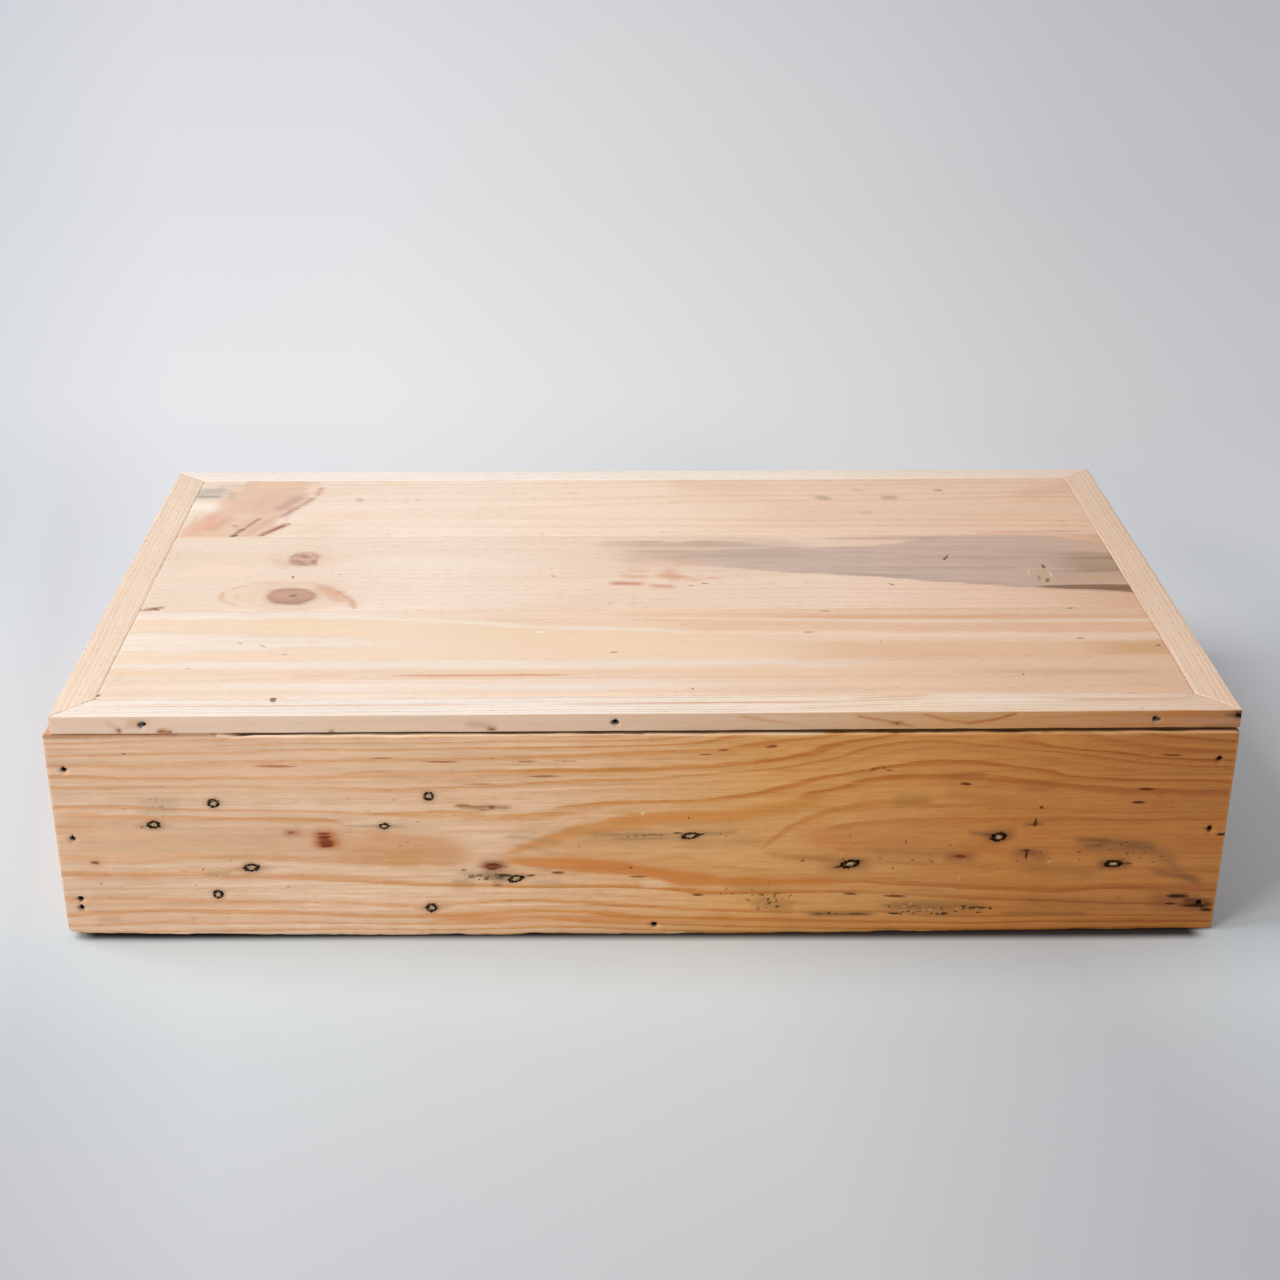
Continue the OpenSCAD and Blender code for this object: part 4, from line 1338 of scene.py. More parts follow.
# Broad rings cut nearly flat: fields of orange late wood round the two knots and the pointed figure on the right.
FRONT_BANDS = (
    *strokes(Stain,
        (-300, 98, -60, 98, 17, "dfb28c", 0.42, 0.3), (60, 24, 180, 22, 15, "c39462", 0.28),
        (70, 56, 170, 56, 13, "c99a66", 0.26), (-10, 96, 60, 92, 12, "e0ac74", 0.25),
    ),
    Band(((-320, 46.5), (-180, 46), (-120, 44.5), (-80, 46)), ((-320, 69), (-240, 67.5), (-180, 66), (-150, 64.5),
        (-120, 61.5), (-100, 57.5), (-80, 47.5)), "deb08a", 0.45, 1.8),
    Band(((-172, 46), (-140, 45), (-110, 44.5), (-78, 46.5)), ((-172, 55), (-150, 60), (-125, 61.5), (-105, 58.5),
        (-92, 54), (-78, 47.5)), "d8a276", 0.55, 1.5, 30),
    band(((-320, 68, 74), (-220, 70, 73)), "d9a67c", 0.45, 1.6, 40),
    Band(((-76, 47), (-50, 42), (-20, 38), (0, 35.5), (20, 32), (60, 30.5), (90, 32)), ((-76, 48), (-66, 52.5),
        (-50, 60), (-35, 65), (-20, 69.5), (0, 73), (30, 74), (60, 75), (90, 79)), "d6a066", 0.45, 1.2, 14),
    Band(((-76, 47), (-60, 52), (-45, 56), (-30, 61), (-10, 65.5), (10, 67.5), (50, 69), (75, 72), (95, 80)),
        ((-76, 48.5), (-66, 53), (-50, 60.5), (-35, 65.8), (-20, 70.5), (-5, 73.6), (20, 75.2), (50, 76.2),
        (75, 80.2), (95, 87)), "d28e40", 0.6, 1, 12),
    Band(((-74, 44.5), (-45, 39.5), (-20, 37), (0, 35), (18, 30.5), (60, 29.5), (100, 30.5)), ((-74, 46.5),
        (-50, 46.5), (-20, 45.5), (0, 41.5), (20, 38), (50, 34.5), (100, 32.5)), "c97a2a", 0.72, 1, 12),
    Band(((60, 49), (66, 47), (80, 44.5), (100, 43)), ((60, 50.5), (70, 48.8), (85, 47), (100, 45)), "c67c34", 0.6,
        0.8),
    Band(((59, 50), (66, 55.5), (76, 63.5), (88, 70), (104, 75), (124, 77), (150, 77)), ((59, 51.5), (64, 57),
        (72, 64), (82, 70.5), (98, 76.5), (118, 80.5), (150, 80)), "c67a32", 0.6, 0.8, 6),
    Band(((80, 56.5), (92, 51.5), (110, 48.5), (150, 46.5), (230, 45), (320, 44)), ((80, 58), (90, 64), (100, 66.5),
        (130, 68), (160, 69), (230, 69), (320, 68)), "c67c3c", 0.36, 1, 10),
    band(((-4, 29.5, 33), (8, 28.6, 33.4), (18, 30, 31)), "e6c498", 0.7, 0.8, 6),
    band(((-56, 49.5, 52), (-46, 48, 53.6), (-32, 49, 51)), "e0b48a", 0.6, 0.8, 6),
    Band(((-120, 8.5), (-60, 9), (-30, 7.5), (0, 6.5), (60, 6.5), (120, 4.5)), ((-120, 11.5), (-60, 12.5),
        (-20, 12.2), (20, 9.6), (70, 9.2), (120, 7.5)), "ce8844", 0.55, 0.8, 20),
    band(((-76, 8.5, 10.4), (-62, 8.8, 10.8), (-44, 9.2, 9.8)), "e8c8a0", 0.75, 0.5, 8),
)

# Grit and torn grain, sown at random inside ovals.
FRONT_GRIT = (
    Grit(-246, 79, 12, 6, 46, 0.34, ("9c8468", "b09a80"), 1), Grit(-217, 40, 10, 4, 12, 0.40, ("9c8460",), 2),
    Grit(64, 20, 15, 5.5, 50, 0.46, ("4c3418", "704e26", "cf9c60"), 3), Grit(58, 27, 20, 9, 26, 0.42, ("6a4a24",), 4),
    Grit(138, 15.6, 17, 3.0, 44, 0.42, ("4a3018", "6a4a28", "d9a566", "d8a86c"), 5),
    Grit(152, 12.2, 26, 1.5, 40, 0.44, ("2f2012", "4a3218", "c8965a"), 6),
    Grit(168, 15.2, 18, 1.9, 48, 0.42, ("3a2814", "5a4024", "cf9a5c", "4a3218"), 7),
    Grit(98, 12.0, 26, 1.0, 22, 0.42, ("3b2a14",), 8), Grit(-90, 37, 14, 4.0, 36, 0.46, ("5a4c38", "7a684e"), 9),
    Grit(-30, 56, 44, 9, 30, 0.32, ("94744a",), 10), Grit(10, 60, 34, 3, 24, 0.34, ("74582f",), 11),
    Grit(106, 50, 14, 10, 22, 0.34, ("7c5a2e",), 12), Grit(140, 50, 30, 9, 30, 0.42, ("704c22", "d9a668"), 13),
    Grit(200, 46, 34, 12, 36, 0.44, ("64421f", "c98f54"), 14), Grit(246, 47, 24, 8, 34, 0.46, ("563a1e",), 15),
    Grit(256, 22, 40, 9, 30, 0.42, ("5a381e", "c08a52"), 16), Grit(-118, 60, 16, 14, 12, 0.32, ("a88a66",), 17),
    Grit(0, 60, 290, 55, 40, 0.28, ("a88258",), 18), Grit(-140, 78, 14, 12, 16, 0.34, ("ead4b8", "b89c7c"), 19),
)


@dataclass
class BoxCarcass:
    """The nailed box: four boards on edge round three bottom planks."""

    body: str = "box"
    front_edge: float = 1.0
    hole_radius: float = 1.5
    hole_depth: float = 1.65
    bottom_line: Points = ((-300, 3.7), (-294, 3.4), (-263, 2.7), (-206, 1.7), (-138, 0.8), (-75, 0.25), (-12, 0.05),
                           (50, 0.05), (114, 0.1), (177, 0.25), (241, 0.35), (272, 0.8), (300, 0.6))
    top_line: Points = ((-300, 0.2), (-214, 0.2), (-206, 1.1), (-190, 0.8), (-100, 1.1), (0, 1.4), (150, 1.7),
                        (300, 1.75))

    def holes(self, board: BoardFrame, *nodes: str) -> Holes:
        """Punched nail holes of these nodes on a board's main face, as along, across, radius and depth."""
        places = [place for node in nodes for place in nail_places(node, board)]
        return tuple((a, b, self.hole_radius, self.hole_depth) for a, b, out in places if out > -4.0)

    def dress(self, shape: BoardShape, figure: Figure, finish: bpy.types.Material, slot: str) -> bpy.types.Object:
        """Makes one board's piece and lets it stand for its node. Its nail holes get a dark mark each, partly rust
        and partly painted shade of the hole.

        Args:
            shape: its mesh.
            figure: what its wood shows.
            finish: its material.
            slot: not used.
        Returns:
            The piece.
        """
        name = shape.board.node
        piece, points = shape.mesh(f"{name}_wood")
        dx, dy = figure.shift
        # dark marks in the nail holes, partly rust and partly painted shade
        figure.marks += tuple(Mark((a + dx, b + dy), (a + dx, b + dy), 1.08 * r, figure.hole_rust_and_shade)
                              for a, b, r, _ in shape.holes)
        figure.edge_marks += tuple(Mark((a + dx - 0.8, c), (a + dx + 0.5, c), 1.05 * r, figure.hole_rust_and_shade)
                                   for a, c, r, _ in shape.edge_holes)
        figure.write(piece.data, points)
        piece.data.materials.append(finish)
        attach(piece, self.body)
        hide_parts(name)
        log.info("%s: %d faces", piece.name, len(piece.data.polygons))
        return piece

    def build(self, finishes: dict[str, bpy.types.Material]) -> None:
        """Makes the walls and the bottom.

        Args:
            finishes: the materials by their place.
        """
        front = BoardFrame("front_board", Facing.FRONT)
        self.dress(
            BoardShape(front, cell=1.08, back_cell=6.0, edge=self.front_edge, wear=0.35,
                       holes=self.holes(front, "front_board_nails", "front_bottom_nail"),
                       face_grip=tuple((old.a, old.b, 5.5) for old in OLD_NAILS), near_lift=self.bottom_line,
                       far_drop=self.top_line, chips=((-97, False, 3.0, 0.9), (-58, False, 3.5, 0.9),
                                                      (-202, True, 4.0, 1.0)), seed=11),
            Figure(DrawnGrowth(FRONT_LINES), stains=FRONT_BANDS + FRONT_STAINS_AND_PAINTED_LIGHT, rings=OLD_NAILS,
                   # painted shade on the front board's top edge, in the gap under the lid's front strip
                   rim_painted_shade=(band(((-208, -9.0, -3.0), (310, -9.0, -3.0)), "7a5536", 0.35, 2.5),
                               band(((-208, -4.4, -1.0), (310, -4.4, -1.0)), "2a160a", 0.85, 0.6)),
                   marks=FRONT_MARKS + tuple(mark for grit in FRONT_GRIT for mark in grit.marks())),
            finishes["front"], "front_pine")
        for node, facing, growth, nails in (
            ("back_board", Facing.BACK, PithGrowth(60, 14, 0.03, 4.2, 7, 41),
             ("back_board_nails", "back_bottom_nail")),
            ("left_end_board", Facing.LEFT, PithGrowth(75, 10, 0.05, 4.6, 6, 51), ("left_end_bottom_nails",)),
            ("right_end_board", Facing.RIGHT, PithGrowth(40, 16, -0.06, 4.0, 6, 61), ("right_end_bottom_nails",)),
        ):
            board = BoardFrame(node, facing)
            cell = 2.2 if node == "back_board" else 1.6
            self.dress(BoardShape(board, cell=cell, back_cell=2 * cell, edge=1.0, wear=0.3,
                                  holes=self.holes(board, *nails), seed=int(growth.seed)),
                       Figure(growth), finishes["wall"], "wall_pine")
        for index, node in enumerate(("bottom_plank_front", "bottom_plank_middle", "bottom_plank_back")):
            growth = PithGrowth(30 + 22 * index, 18, 0.04 - 0.04 * index, 4.0, 6, 71 + index)
            self.dress(BoardShape(BoardFrame(node, Facing.UP), cell=3.0, back_cell=4.0, edge=0.5, wear=0.15,
                                  seed=70 + index), Figure(growth), finishes["plain"], "plain_pine")


# Figure of the lid, as row-frame x and y in millimetres.
LID_KNOTS = (
    Knot(-196.0, -28.0, 15.3, 12.2, "7e4c3c", "ab7868", 0.90, 2.0, 4.0, 0.16),
    Knot(-196.0, 27.0, 9.6, 12.0, "90584a", "cb9f8a", 0.80, 1.4, 4.0, 0.14),
)
LID_FRONT_STAINS = (
    band(((-30, -61, -52), (20, -66, -52), (281, -70, -60), (320, -70, -60)), "e2b48e", 0.4, 1.4, 40),
    band(((-320, -58, -50), (-120, -58, -50)), "eadfd6", 0.55, 2, 50),
    band(((-80, -58, -56), (20, -62, -59), (150, -67.5, -64), (320, -68, -65)), "f4dac6", 0.6, 1, 30),
    band(((60, -61, -57), (320, -62, -57.5)), "dca078", 0.45, 1, 50),
    band(((-320, -59.5, -56), (-159, -58.5, -55.2), (-102, -65.8, -60.6), (-73, -71.2, -66), (-31, -76.5, -71),
        (30, -79.5, -75.5)), "f1e2d0", 0.72, 1.8, 16),
    band(((10, -80.5, -75.5), (91, -83.8, -78.6), (162, -87, -81), (320, -89, -81)), "f6dbc3", 0.5, 1.8, 16),
    band(((0, -75, -65), (91, -78, -68), (162, -80, -70.5), (320, -81, -71)), "e4b08a", 0.34, 1.6, 40),
    Band(((-320, -74), (-200, -76), (-110, -86), (-60, -96), (-20, -112), (60, -112), (160, -108), (320, -112)),
        ((-320, -59.5), (-159, -59), (-102, -66), (-73, -71.5), (-31, -77), (19, -80), (91, -84), (162, -88),
        (320, -90)), "efd2b2", 0.55, 2),
    band(((-320, -113, -104), (-210, -113, -102), (-150, -110, -95), (-90, -112, -90), (-20, -112, -100)), "efd1b4",
        0.45, 2.4, 20),
    Band(((-320, -103), (-240, -102), (-190, -97), (-120, -92)), ((-320, -76), (-240, -77), (-200, -81), (-120, -89)),
        "ecdfd4", 0.55, 3.6, 40),
    band(((60, -112, -92), (160, -111, -92), (320, -111, -95)), "dfaa82", 0.42, 2.4, 60),
    band(((225, -110, -93), (320, -110, -91)), "cc945c", 0.5, 2, 40),
    band(((-320, -123, -114.5), (-60, -122, -112.5), (60, -121, -113.5), (150, -122, -114)), "ece0d6", 0.62, 2, 110),
    band(((-320, -130, -124), (320, -131, -124.5)), "e6c09e", 0.4, 1.4),
    *strokes(Stain,
        (-140, -131, -30, -130.6, 1.1, "c88a63", 0.8), (-185, -131.5, -150, -131, 0.9, "d8a283", 0.6),
        (-278, -134, 281, -135, 1.4, "e0b896", 0.4), (-290, -142, 110, -144, 6, "eee2d8", 0.6, 0.7),
        (-278, -138.6, 281, -139.4, 0.8, "e2b89b", 0.4), (160, -129, 281, -130, 3.5, "d2a284", 0.45),
        (-278, -150, 281, -151, 0.7, "e0bca0", 0.4), (-278, -126.4, 60, -126, 0.7, "e8c8aa", 0.4),
    ),
)
LID_FRONT_MARKS = strokes(Mark,
    (-216, -89, -213, -91, 0.9, "c9ab92"), (-204, -92, -200, -95, 0.9, "c9ab92"),
    (-190, -104, -188, -105, 0.8, "b99c84"), (-238, -121, -235, -121.5, 0.9, "cbb09a"),
    (-56, -77.5, -52, -77.8, 0.8, "fdf4e6"), (-17, -103.6, -12.5, -103.6, 0.8, "b09070"),
    (25, -147, 25, -148, 0.7, "806050"), (88, -79.5, 94, -79.4, 0.7, "8d7264"), (128, -90, 128.4, -93, 0.6, "a08068"),
    (235, -89, 239, -88.8, 0.8, "8a6c54"), (234, -98, 238, -90, 0.4, "e8cdb0"), (276, -99, 278, -98, 0.8, "7c5a40"),
    (197.6, -132, 198, -134, 0.6, "8f6f58"), (239, -49.4, 242, -49, 0.9, "8d7260"),
    (100, -51, 106, -52, 0.9, "a89280"), (-277, -152.5, -276, -151.5, 1, "54341f"),
    (-277.6, -128, -277.4, -150, 0.45, "b98a68"),
)
LID_MIDDLE_STAINS = (
    *strokes(Stain,
        (-228, -25, -166, -25, 15, "e6c4a6", 0.38), (-214, 30, -180, 26, 12, "e6c4a6", 0.3),
        (-214, -30, -236, -24, 5, "e6c6ac", 0.5), (-236, -22, -232, -38, 2, "dcb494", 0.5),
        (-212, -9, -182, -10, 3.5, "e4c0a4", 0.5), (-184, -14, -166, -26, 3.5, "d9a88c", 0.6),
        (-178, -18, -168, -34, 5, "d8a68a", 0.6), (-166, -26, -158, -44, 3, "d9ad90", 0.6),
        (-162, -30, -158, -47, 1.2, "c29878", 0.6), (-212, -45, -180, -46, 3, "e2c6ae", 0.5),
        (-195.5, -27, -194, -27, 1.3, "5e3a34", 0.8), (-200, 24, -196, 21, 2, "94665a", 0.55),
        (-235, -20, -235, -32, 1.2, "cfa283", 0.6), (-234, -33, -222, -43, 1.2, "d3aa8c", 0.55),
        (-233, -19, -222, -11, 1.2, "d3aa8c", 0.55), (-222, -10, -204, -7, 1.2, "d3aa8c", 0.5),
        (-227, -22, -226, -34, 0.9, "d8b498", 0.5), (-186, -10, -172, -18, 1, "c99a7a", 0.55),
        (-172, -19, -163, -33, 1, "c4906f", 0.55), (-210, 24, -206, 16, 4, "e0bda2", 0.5),
        (-198, 34, -193, 27, 2, "8e6258", 0.6), (-190, 24, -188, 18, 1.6, "9c6a58", 0.6),
        (-203, 32, -196, 29, 1.4, "a87a68", 0.5), (-206, 40, -186, 38, 4, "ecd2bc", 0.5),
        (-272, -45, -266, -43, 1.7, "8c5a42", 0.75), (-276, -46, -270, -45, 1.6, "a0705a", 0.6),
        (-262, -47, -230, -47.5, 1.2, "d8b498", 0.5), (-260, 12, -222, 10, 9, "f0d2b6", 0.45),
    ),
    Band(((-12, 34), (22, 18), (73, 5.6), (127, -1.8), (162, -8.7), (198, -16), (234, -22), (320, -34)), ((-12, 38),
        (60, 37.5), (100, 42), (140, 42.5), (160, 48), (176, 57), (220, 60), (250, 58), (265, 52), (281, 47),
        (320, 40)), "b9a397", 0.56, 1.7, 82),
    *strokes(Stain,
        (2, 22, 34, 20, 10, "d8b298", 0.42),
    ),
    Band(((70, 8), (127, -0.5), (162, -7.5), (198, -15), (234, -20), (320, -32)), ((70, 32), (127, 38), (198, 44),
        (250, 40), (320, 30)), "a8948a", 0.15, 5, 60),
    band(((-34, 44, 51), (20, 43.5, 52), (60, 43, 51), (84, 42, 45)), "bda596", 0.4, 2, 24),
    band(((104, 54, 55.6), (140, 53, 57.2), (190, 52, 58)), "b09a8c", 0.5, 1, 20),
    band(((-30, 24, 50), (20, 22, 52), (60, 20, 52), (120, 18, 50)), "b9a08e", 0.38, 5, 44),
    band(((0, 27.5, 30), (70, 26.5, 29)), "ab9588", 0.34, 1.2, 24),
    band(((-14, 34, 36.4), (50, 33, 35.4)), "ab9588", 0.34, 1.2, 20),
    band(((12, 38.5, 41.6), (60, 38.5, 42.4)), "e6c6a8", 0.6, 1.2, 14),
    band(((86, 19, 21.6), (200, 18, 20)), "cbb6a8", 0.3, 1, 30),
    band(((150, 23.5, 26), (250, 22, 24.6)), "927c6c", 0.25, 1, 30),
    band(((120, 9.5, 11.5), (240, 8, 10)), "927c6c", 0.18, 1, 30),
    band(((150, 1, 4), (180, -1, 2.5), (240, -3, 1)), "cfb5a2", 0.5, 1.2, 20),
    band(((70, 5.5, 9), (127, -2, 3), (162, -9, -4), (198, -16.5, -11.5), (234, -22.5, -18)), "9a8880", 0.26, 1.2,
        30),
    band(((222, -21, -18), (250, -22.5, -16.5), (265, -24.5, -16), (281, -28, -16.5), (320, -34, -17)), "7c532e", 0.8,
        1, 14),
    band(((236, -13, -6), (281, -10.5, -2), (320, -10, -1)), "cfa583", 0.55, 1.4, 10),
    band(((236, 0, 32), (320, 1, 30)), "9c8060", 0.45, 4, 30),
    band(((252, 4, 8), (320, 4, 9)), "84664a", 0.35, 2, 20),
    band(((250, 22, 25), (320, 20, 24)), "84664a", 0.35, 1.5, 20),
    *strokes(Stain,
        (234, 6, 235, -10, 5, "cfae88", 0.62), (228, 8, 224, -8, 3, "d2b394", 0.5),
        (-18, -11, 5, -12.5, 2.3, "c67c5a", 0.78), (5, -14, 22, -17.5, 2.3, "cf8f70", 0.72),
        (-7, -1, 3, -3, 3.2, "dc9e7c", 0.58), (-4, 7, 4, 6, 2.4, "e2ab8c", 0.45),
        (10, 0, 27, -3, 4.2, "d99a78", 0.62), (18, 11, 21, -11, 3.6, "dba382", 0.5),
        (27, -4, 34, -7, 3, "d89e7c", 0.5), (38, -4.5, 49, -5, 1.8, "d89a78", 0.6),
        (22, 26, 26, 16, 4, "deb496", 0.4),
    ),
)
LID_MIDDLE_MARKS = strokes(Mark,
    (-199, 1, -198, -2, 1, "a58468"), (-50, 1, -48, -2, 0.9, "c2a696"), (29, -15, 31, -15.5, 0.8, "a9806a"),
    (36, -12, 40, -12.5, 0.8, "a9705a"), (181.6, 22, 184, 29, 0.8, "7d685e"),
    (180.8, 21.5, 181.6, 23.5, 0.9, "3f3432"), (237, 13, 237.4, 8, 1.1, "6a4a30"), (236, -8, 235, -12, 1.3, "8a6038"),
    (232, -3, 231, -9, 1, "b58a5c"), (239, 2, 239, -4, 0.9, "e6cda6"), (228, 8, 226, -2, 0.8, "dcc3a4"),
    (222, 4, 221, -8, 0.6, "d4baa0"), (213, -6, 212, -12, 0.6, "d4baa0"), (144, -14, 146, -16, 1, "9c7f68"),
    (-173, 4, -171, 3, 1, "cdb095"), (-270, -44, -266, -46.5, 0.9, "6e4430"),
)
LID_BACK_STAINS = (
    Band(((40, -286), (62, -280), (112, -263), (180, -246)), ((40, -236), (62, -228), (100, -215), (130, -207),
        (180, -208)), "dab094", 0.66, 6, upright=True),
    *strokes(Stain,
        (-270, 60, -257, 104, 5, "dfa68e", 0.6), (-259, 66, -250, 98, 2.6, "cd9278", 0.38),
        (-251, 64, -236, 108, 2.6, "edccb6", 0.45), (-240, 96, -226, 142, 4.5, "d9ae98", 0.45),
        (-236, 62, -222, 96, 3.2, "d8a690", 0.5), (-223, 104, -209, 131, 5, "b98f82", 0.62),
        (-246, 150, -214, 152, 6, "efcaa6", 0.45), (-220, 92, -201.5, 128, 2.2, "a87468", 0.6, 0.2),
        (-201, 128, -199.5, 148, 1.6, "c98a76", 0.65), (-228, 62, -213, 83, 2.3, "a0644c", 0.85, 0.3),
        (-222, 70, -214, 81, 1.2, "83503c", 0.6), (-245, 60, -238, 76, 1.4, "6a544c", 0.75, 0.2),
        (-238, 76, -231, 93, 1.3, "8a6c60", 0.7, 0.2), (-245.4, 80, -244, 78, 1.1, "8f7264", 0.7),
        (-208, 134, -199, 136, 2.6, "dba592", 0.45), (-262, 72, -258, 84, 1.8, "e0a070", 0.5),
        (-276, 66, -262, 90, 4, "e4b8a0", 0.5), (-278, 130, -264, 130, 3.6, "a09890", 0.8),
        (-276, 139, -264, 140, 5, "aca39a", 0.72), (-256, 138, -254.6, 124, 2.2, "b4a99e", 0.6),
        (-264, 147, -256, 148, 3.5, "c4b5a8", 0.5), (-278, 112, -268, 112, 7.5, "f6e8da", 0.8),
        (-206, 68, -201, 70, 3.4, "e6d2ae", 0.55), (-198, 128, -176, 140, 4, "eccfb8", 0.45),
        (-204, 92, -160, 94, 7, "ecccb4", 0.4), (-196, 76, -186, 70, 5, "e9c7ae", 0.4),
        (-166, 152, -140, 150, 4, "eed2b2", 0.45), (-190, 98, -60, 98, 8, "f0d8c2", 0.35),
        (20, 150, 90, 140, 14, "e6bd9e", 0.4), (60, 96, 281, 92, 10, "e3bb9c", 0.25),
        (200, 62, 281, 66, 2.4, "d49c84", 0.5), (252, 130, 281, 140, 10, "d8a98c", 0.45),
        (118, 124, 121, 123, 3.6, "a08f80", 0.6), (160, 124, 164, 124, 3.4, "b09884", 0.6),
        (142, 98, 146, 98, 3, "c4a890", 0.45), (194, 137, 196, 136, 1.8, "b48f78", 0.55),
        (142, 137, 146, 136, 2, "d8a890", 0.45), (-174, 125, -172.6, 121, 1.8, "b5a68e", 0.6),
        (-138, 124, -136, 122, 2.2, "d8cbbb", 0.45), (-41, 134, -38, 133, 2, "d2bda8", 0.4),
    ),
)
LID_BACK_MARKS = strokes(Mark,
    (-241, 64, -243, 62.6, 0.8, "4a3a34"), (-213, 83, -211.6, 82, 0.8, "6a3c2e"),
    (196, 138, 195.6, 135, 0.6, "9a7460"),
)
STRIP_STAINS = strokes(Stain,
    (-296, -164.6, -60, -164.4, 0.8, "dba57e", 0.7), (-60, -164.4, 120, -163.4, 0.8, "cf9468", 0.75),
    (100, -160, 150, -156.6, 0.8, "c9906a", 0.55), (-100, -153, -60, -153, 0.8, "d3a07c", 0.5),
    (100, -163, 148, -160, 1, "d6a682", 0.5), (205, -163, 290, -162.6, 1.6, "cf9f7c", 0.6),
    (150, -167, 200, -160, 6, "f2e4d4", 0.4), (70, -171, 130, -166, 1, "dab08c", 0.5),
)
STRIP_MARKS = (
    Mark((-187.5, -155), (-187, -159), 1.7, "7a4a34"),
)

# Stains of the front strip's front face, with a painted shade line along its lower rim, as (along, out): out is 0 at
# the lid's top and -10 at its underside.
STRIP_FACE_STAINS_AND_SHADE = (
    band(((45, -2.2, -0.6), (60, -4.5, -3.2), (83, -9, -8)), "c98a50", 0.6, 0.5, 6),
    band(((104, -2.6, -0.8), (123, -6, -4.6), (137, -9.5, -8.2)), "b8702e", 0.65, 0.5, 4),
    band(((138, -1.6, -0.4), (150, -5.2, -3.8), (162, -7, -5.6), (174, -5.6, -4.2), (187, -2, -0.6)), "b8702e", 0.65,
        0.5, 3),
    band(((160, -7.5, -6.2), (174, -5.5, -4.2), (188, -2, -0.6)), "b46a2a", 0.6, 0.5, 3),
    band(((0, -8.5, -7.8), (60, -8.8, -8), (110, -9.6, -8.8)), "c8905c", 0.4, 0.5, 10),
    *strokes(Stain,
        (-262, -7.6, -261.6, -8.6, 1.2, "a4592c", 0.85), (-244, -8.6, -235, -8.8, 1.4, "b4713e", 0.75),
        (-242, -7.6, -238, -7.8, 1, "b8794a", 0.6), (-90, -5, -74, -7, 2.2, "bb9472", 0.5),
        (-78, -8.2, -75, -8.4, 1.1, "9c6236", 0.8), (-157, -9.2, -155.6, -9.2, 1, "a06a40", 0.8),
        (-268, -3, -262, -7, 1.6, "c2a284", 0.4), (-255, -4.2, -249, -4.2, 2.8, "c49a72", 0.6),
        (291, -2.6, 299, -3, 1.2, "6a5038", 0.7), (298, -3, 300, -3, 2.2, "33261c", 0.9),
        (122, -6, 128, -7.4, 1, "8a5a30", 0.6), (126, -5.2, 130, -6.8, 0.8, "8a5a30", 0.5),
        (280, -9, 300, -9, 1.2, "9c6a3c", 0.6),
    ),
    # painted shade: a dark line along the strip's lower rim, over the gap between lid and box
    band(((-212, -12, -10.2), (-204, -12, -9.6), (-192, -12, -9.9), (0, -12, -9.95), (310, -12, -9.8)), "1e110b",
        0.92, 0.25, 3),
)
STRIP_FACE_MARKS = strokes(Mark,
    (-262.4, -8.4, -261.6, -7.4, 0.5, "8a4a26"), (-242.6, -8.9, -239, -8.5, 0.5, "8a4a26"),
    (-237.6, -9, -235.4, -8.9, 0.5, "8a4a26"), (-77.4, -8.6, -75.4, -8.6, 0.5, "74421f"),
    (297.4, -2.6, 299.6, -3.4, 1.1, "1f1712"), (125.4, -6, 127, -7, 0.5, "6c421f"),
)


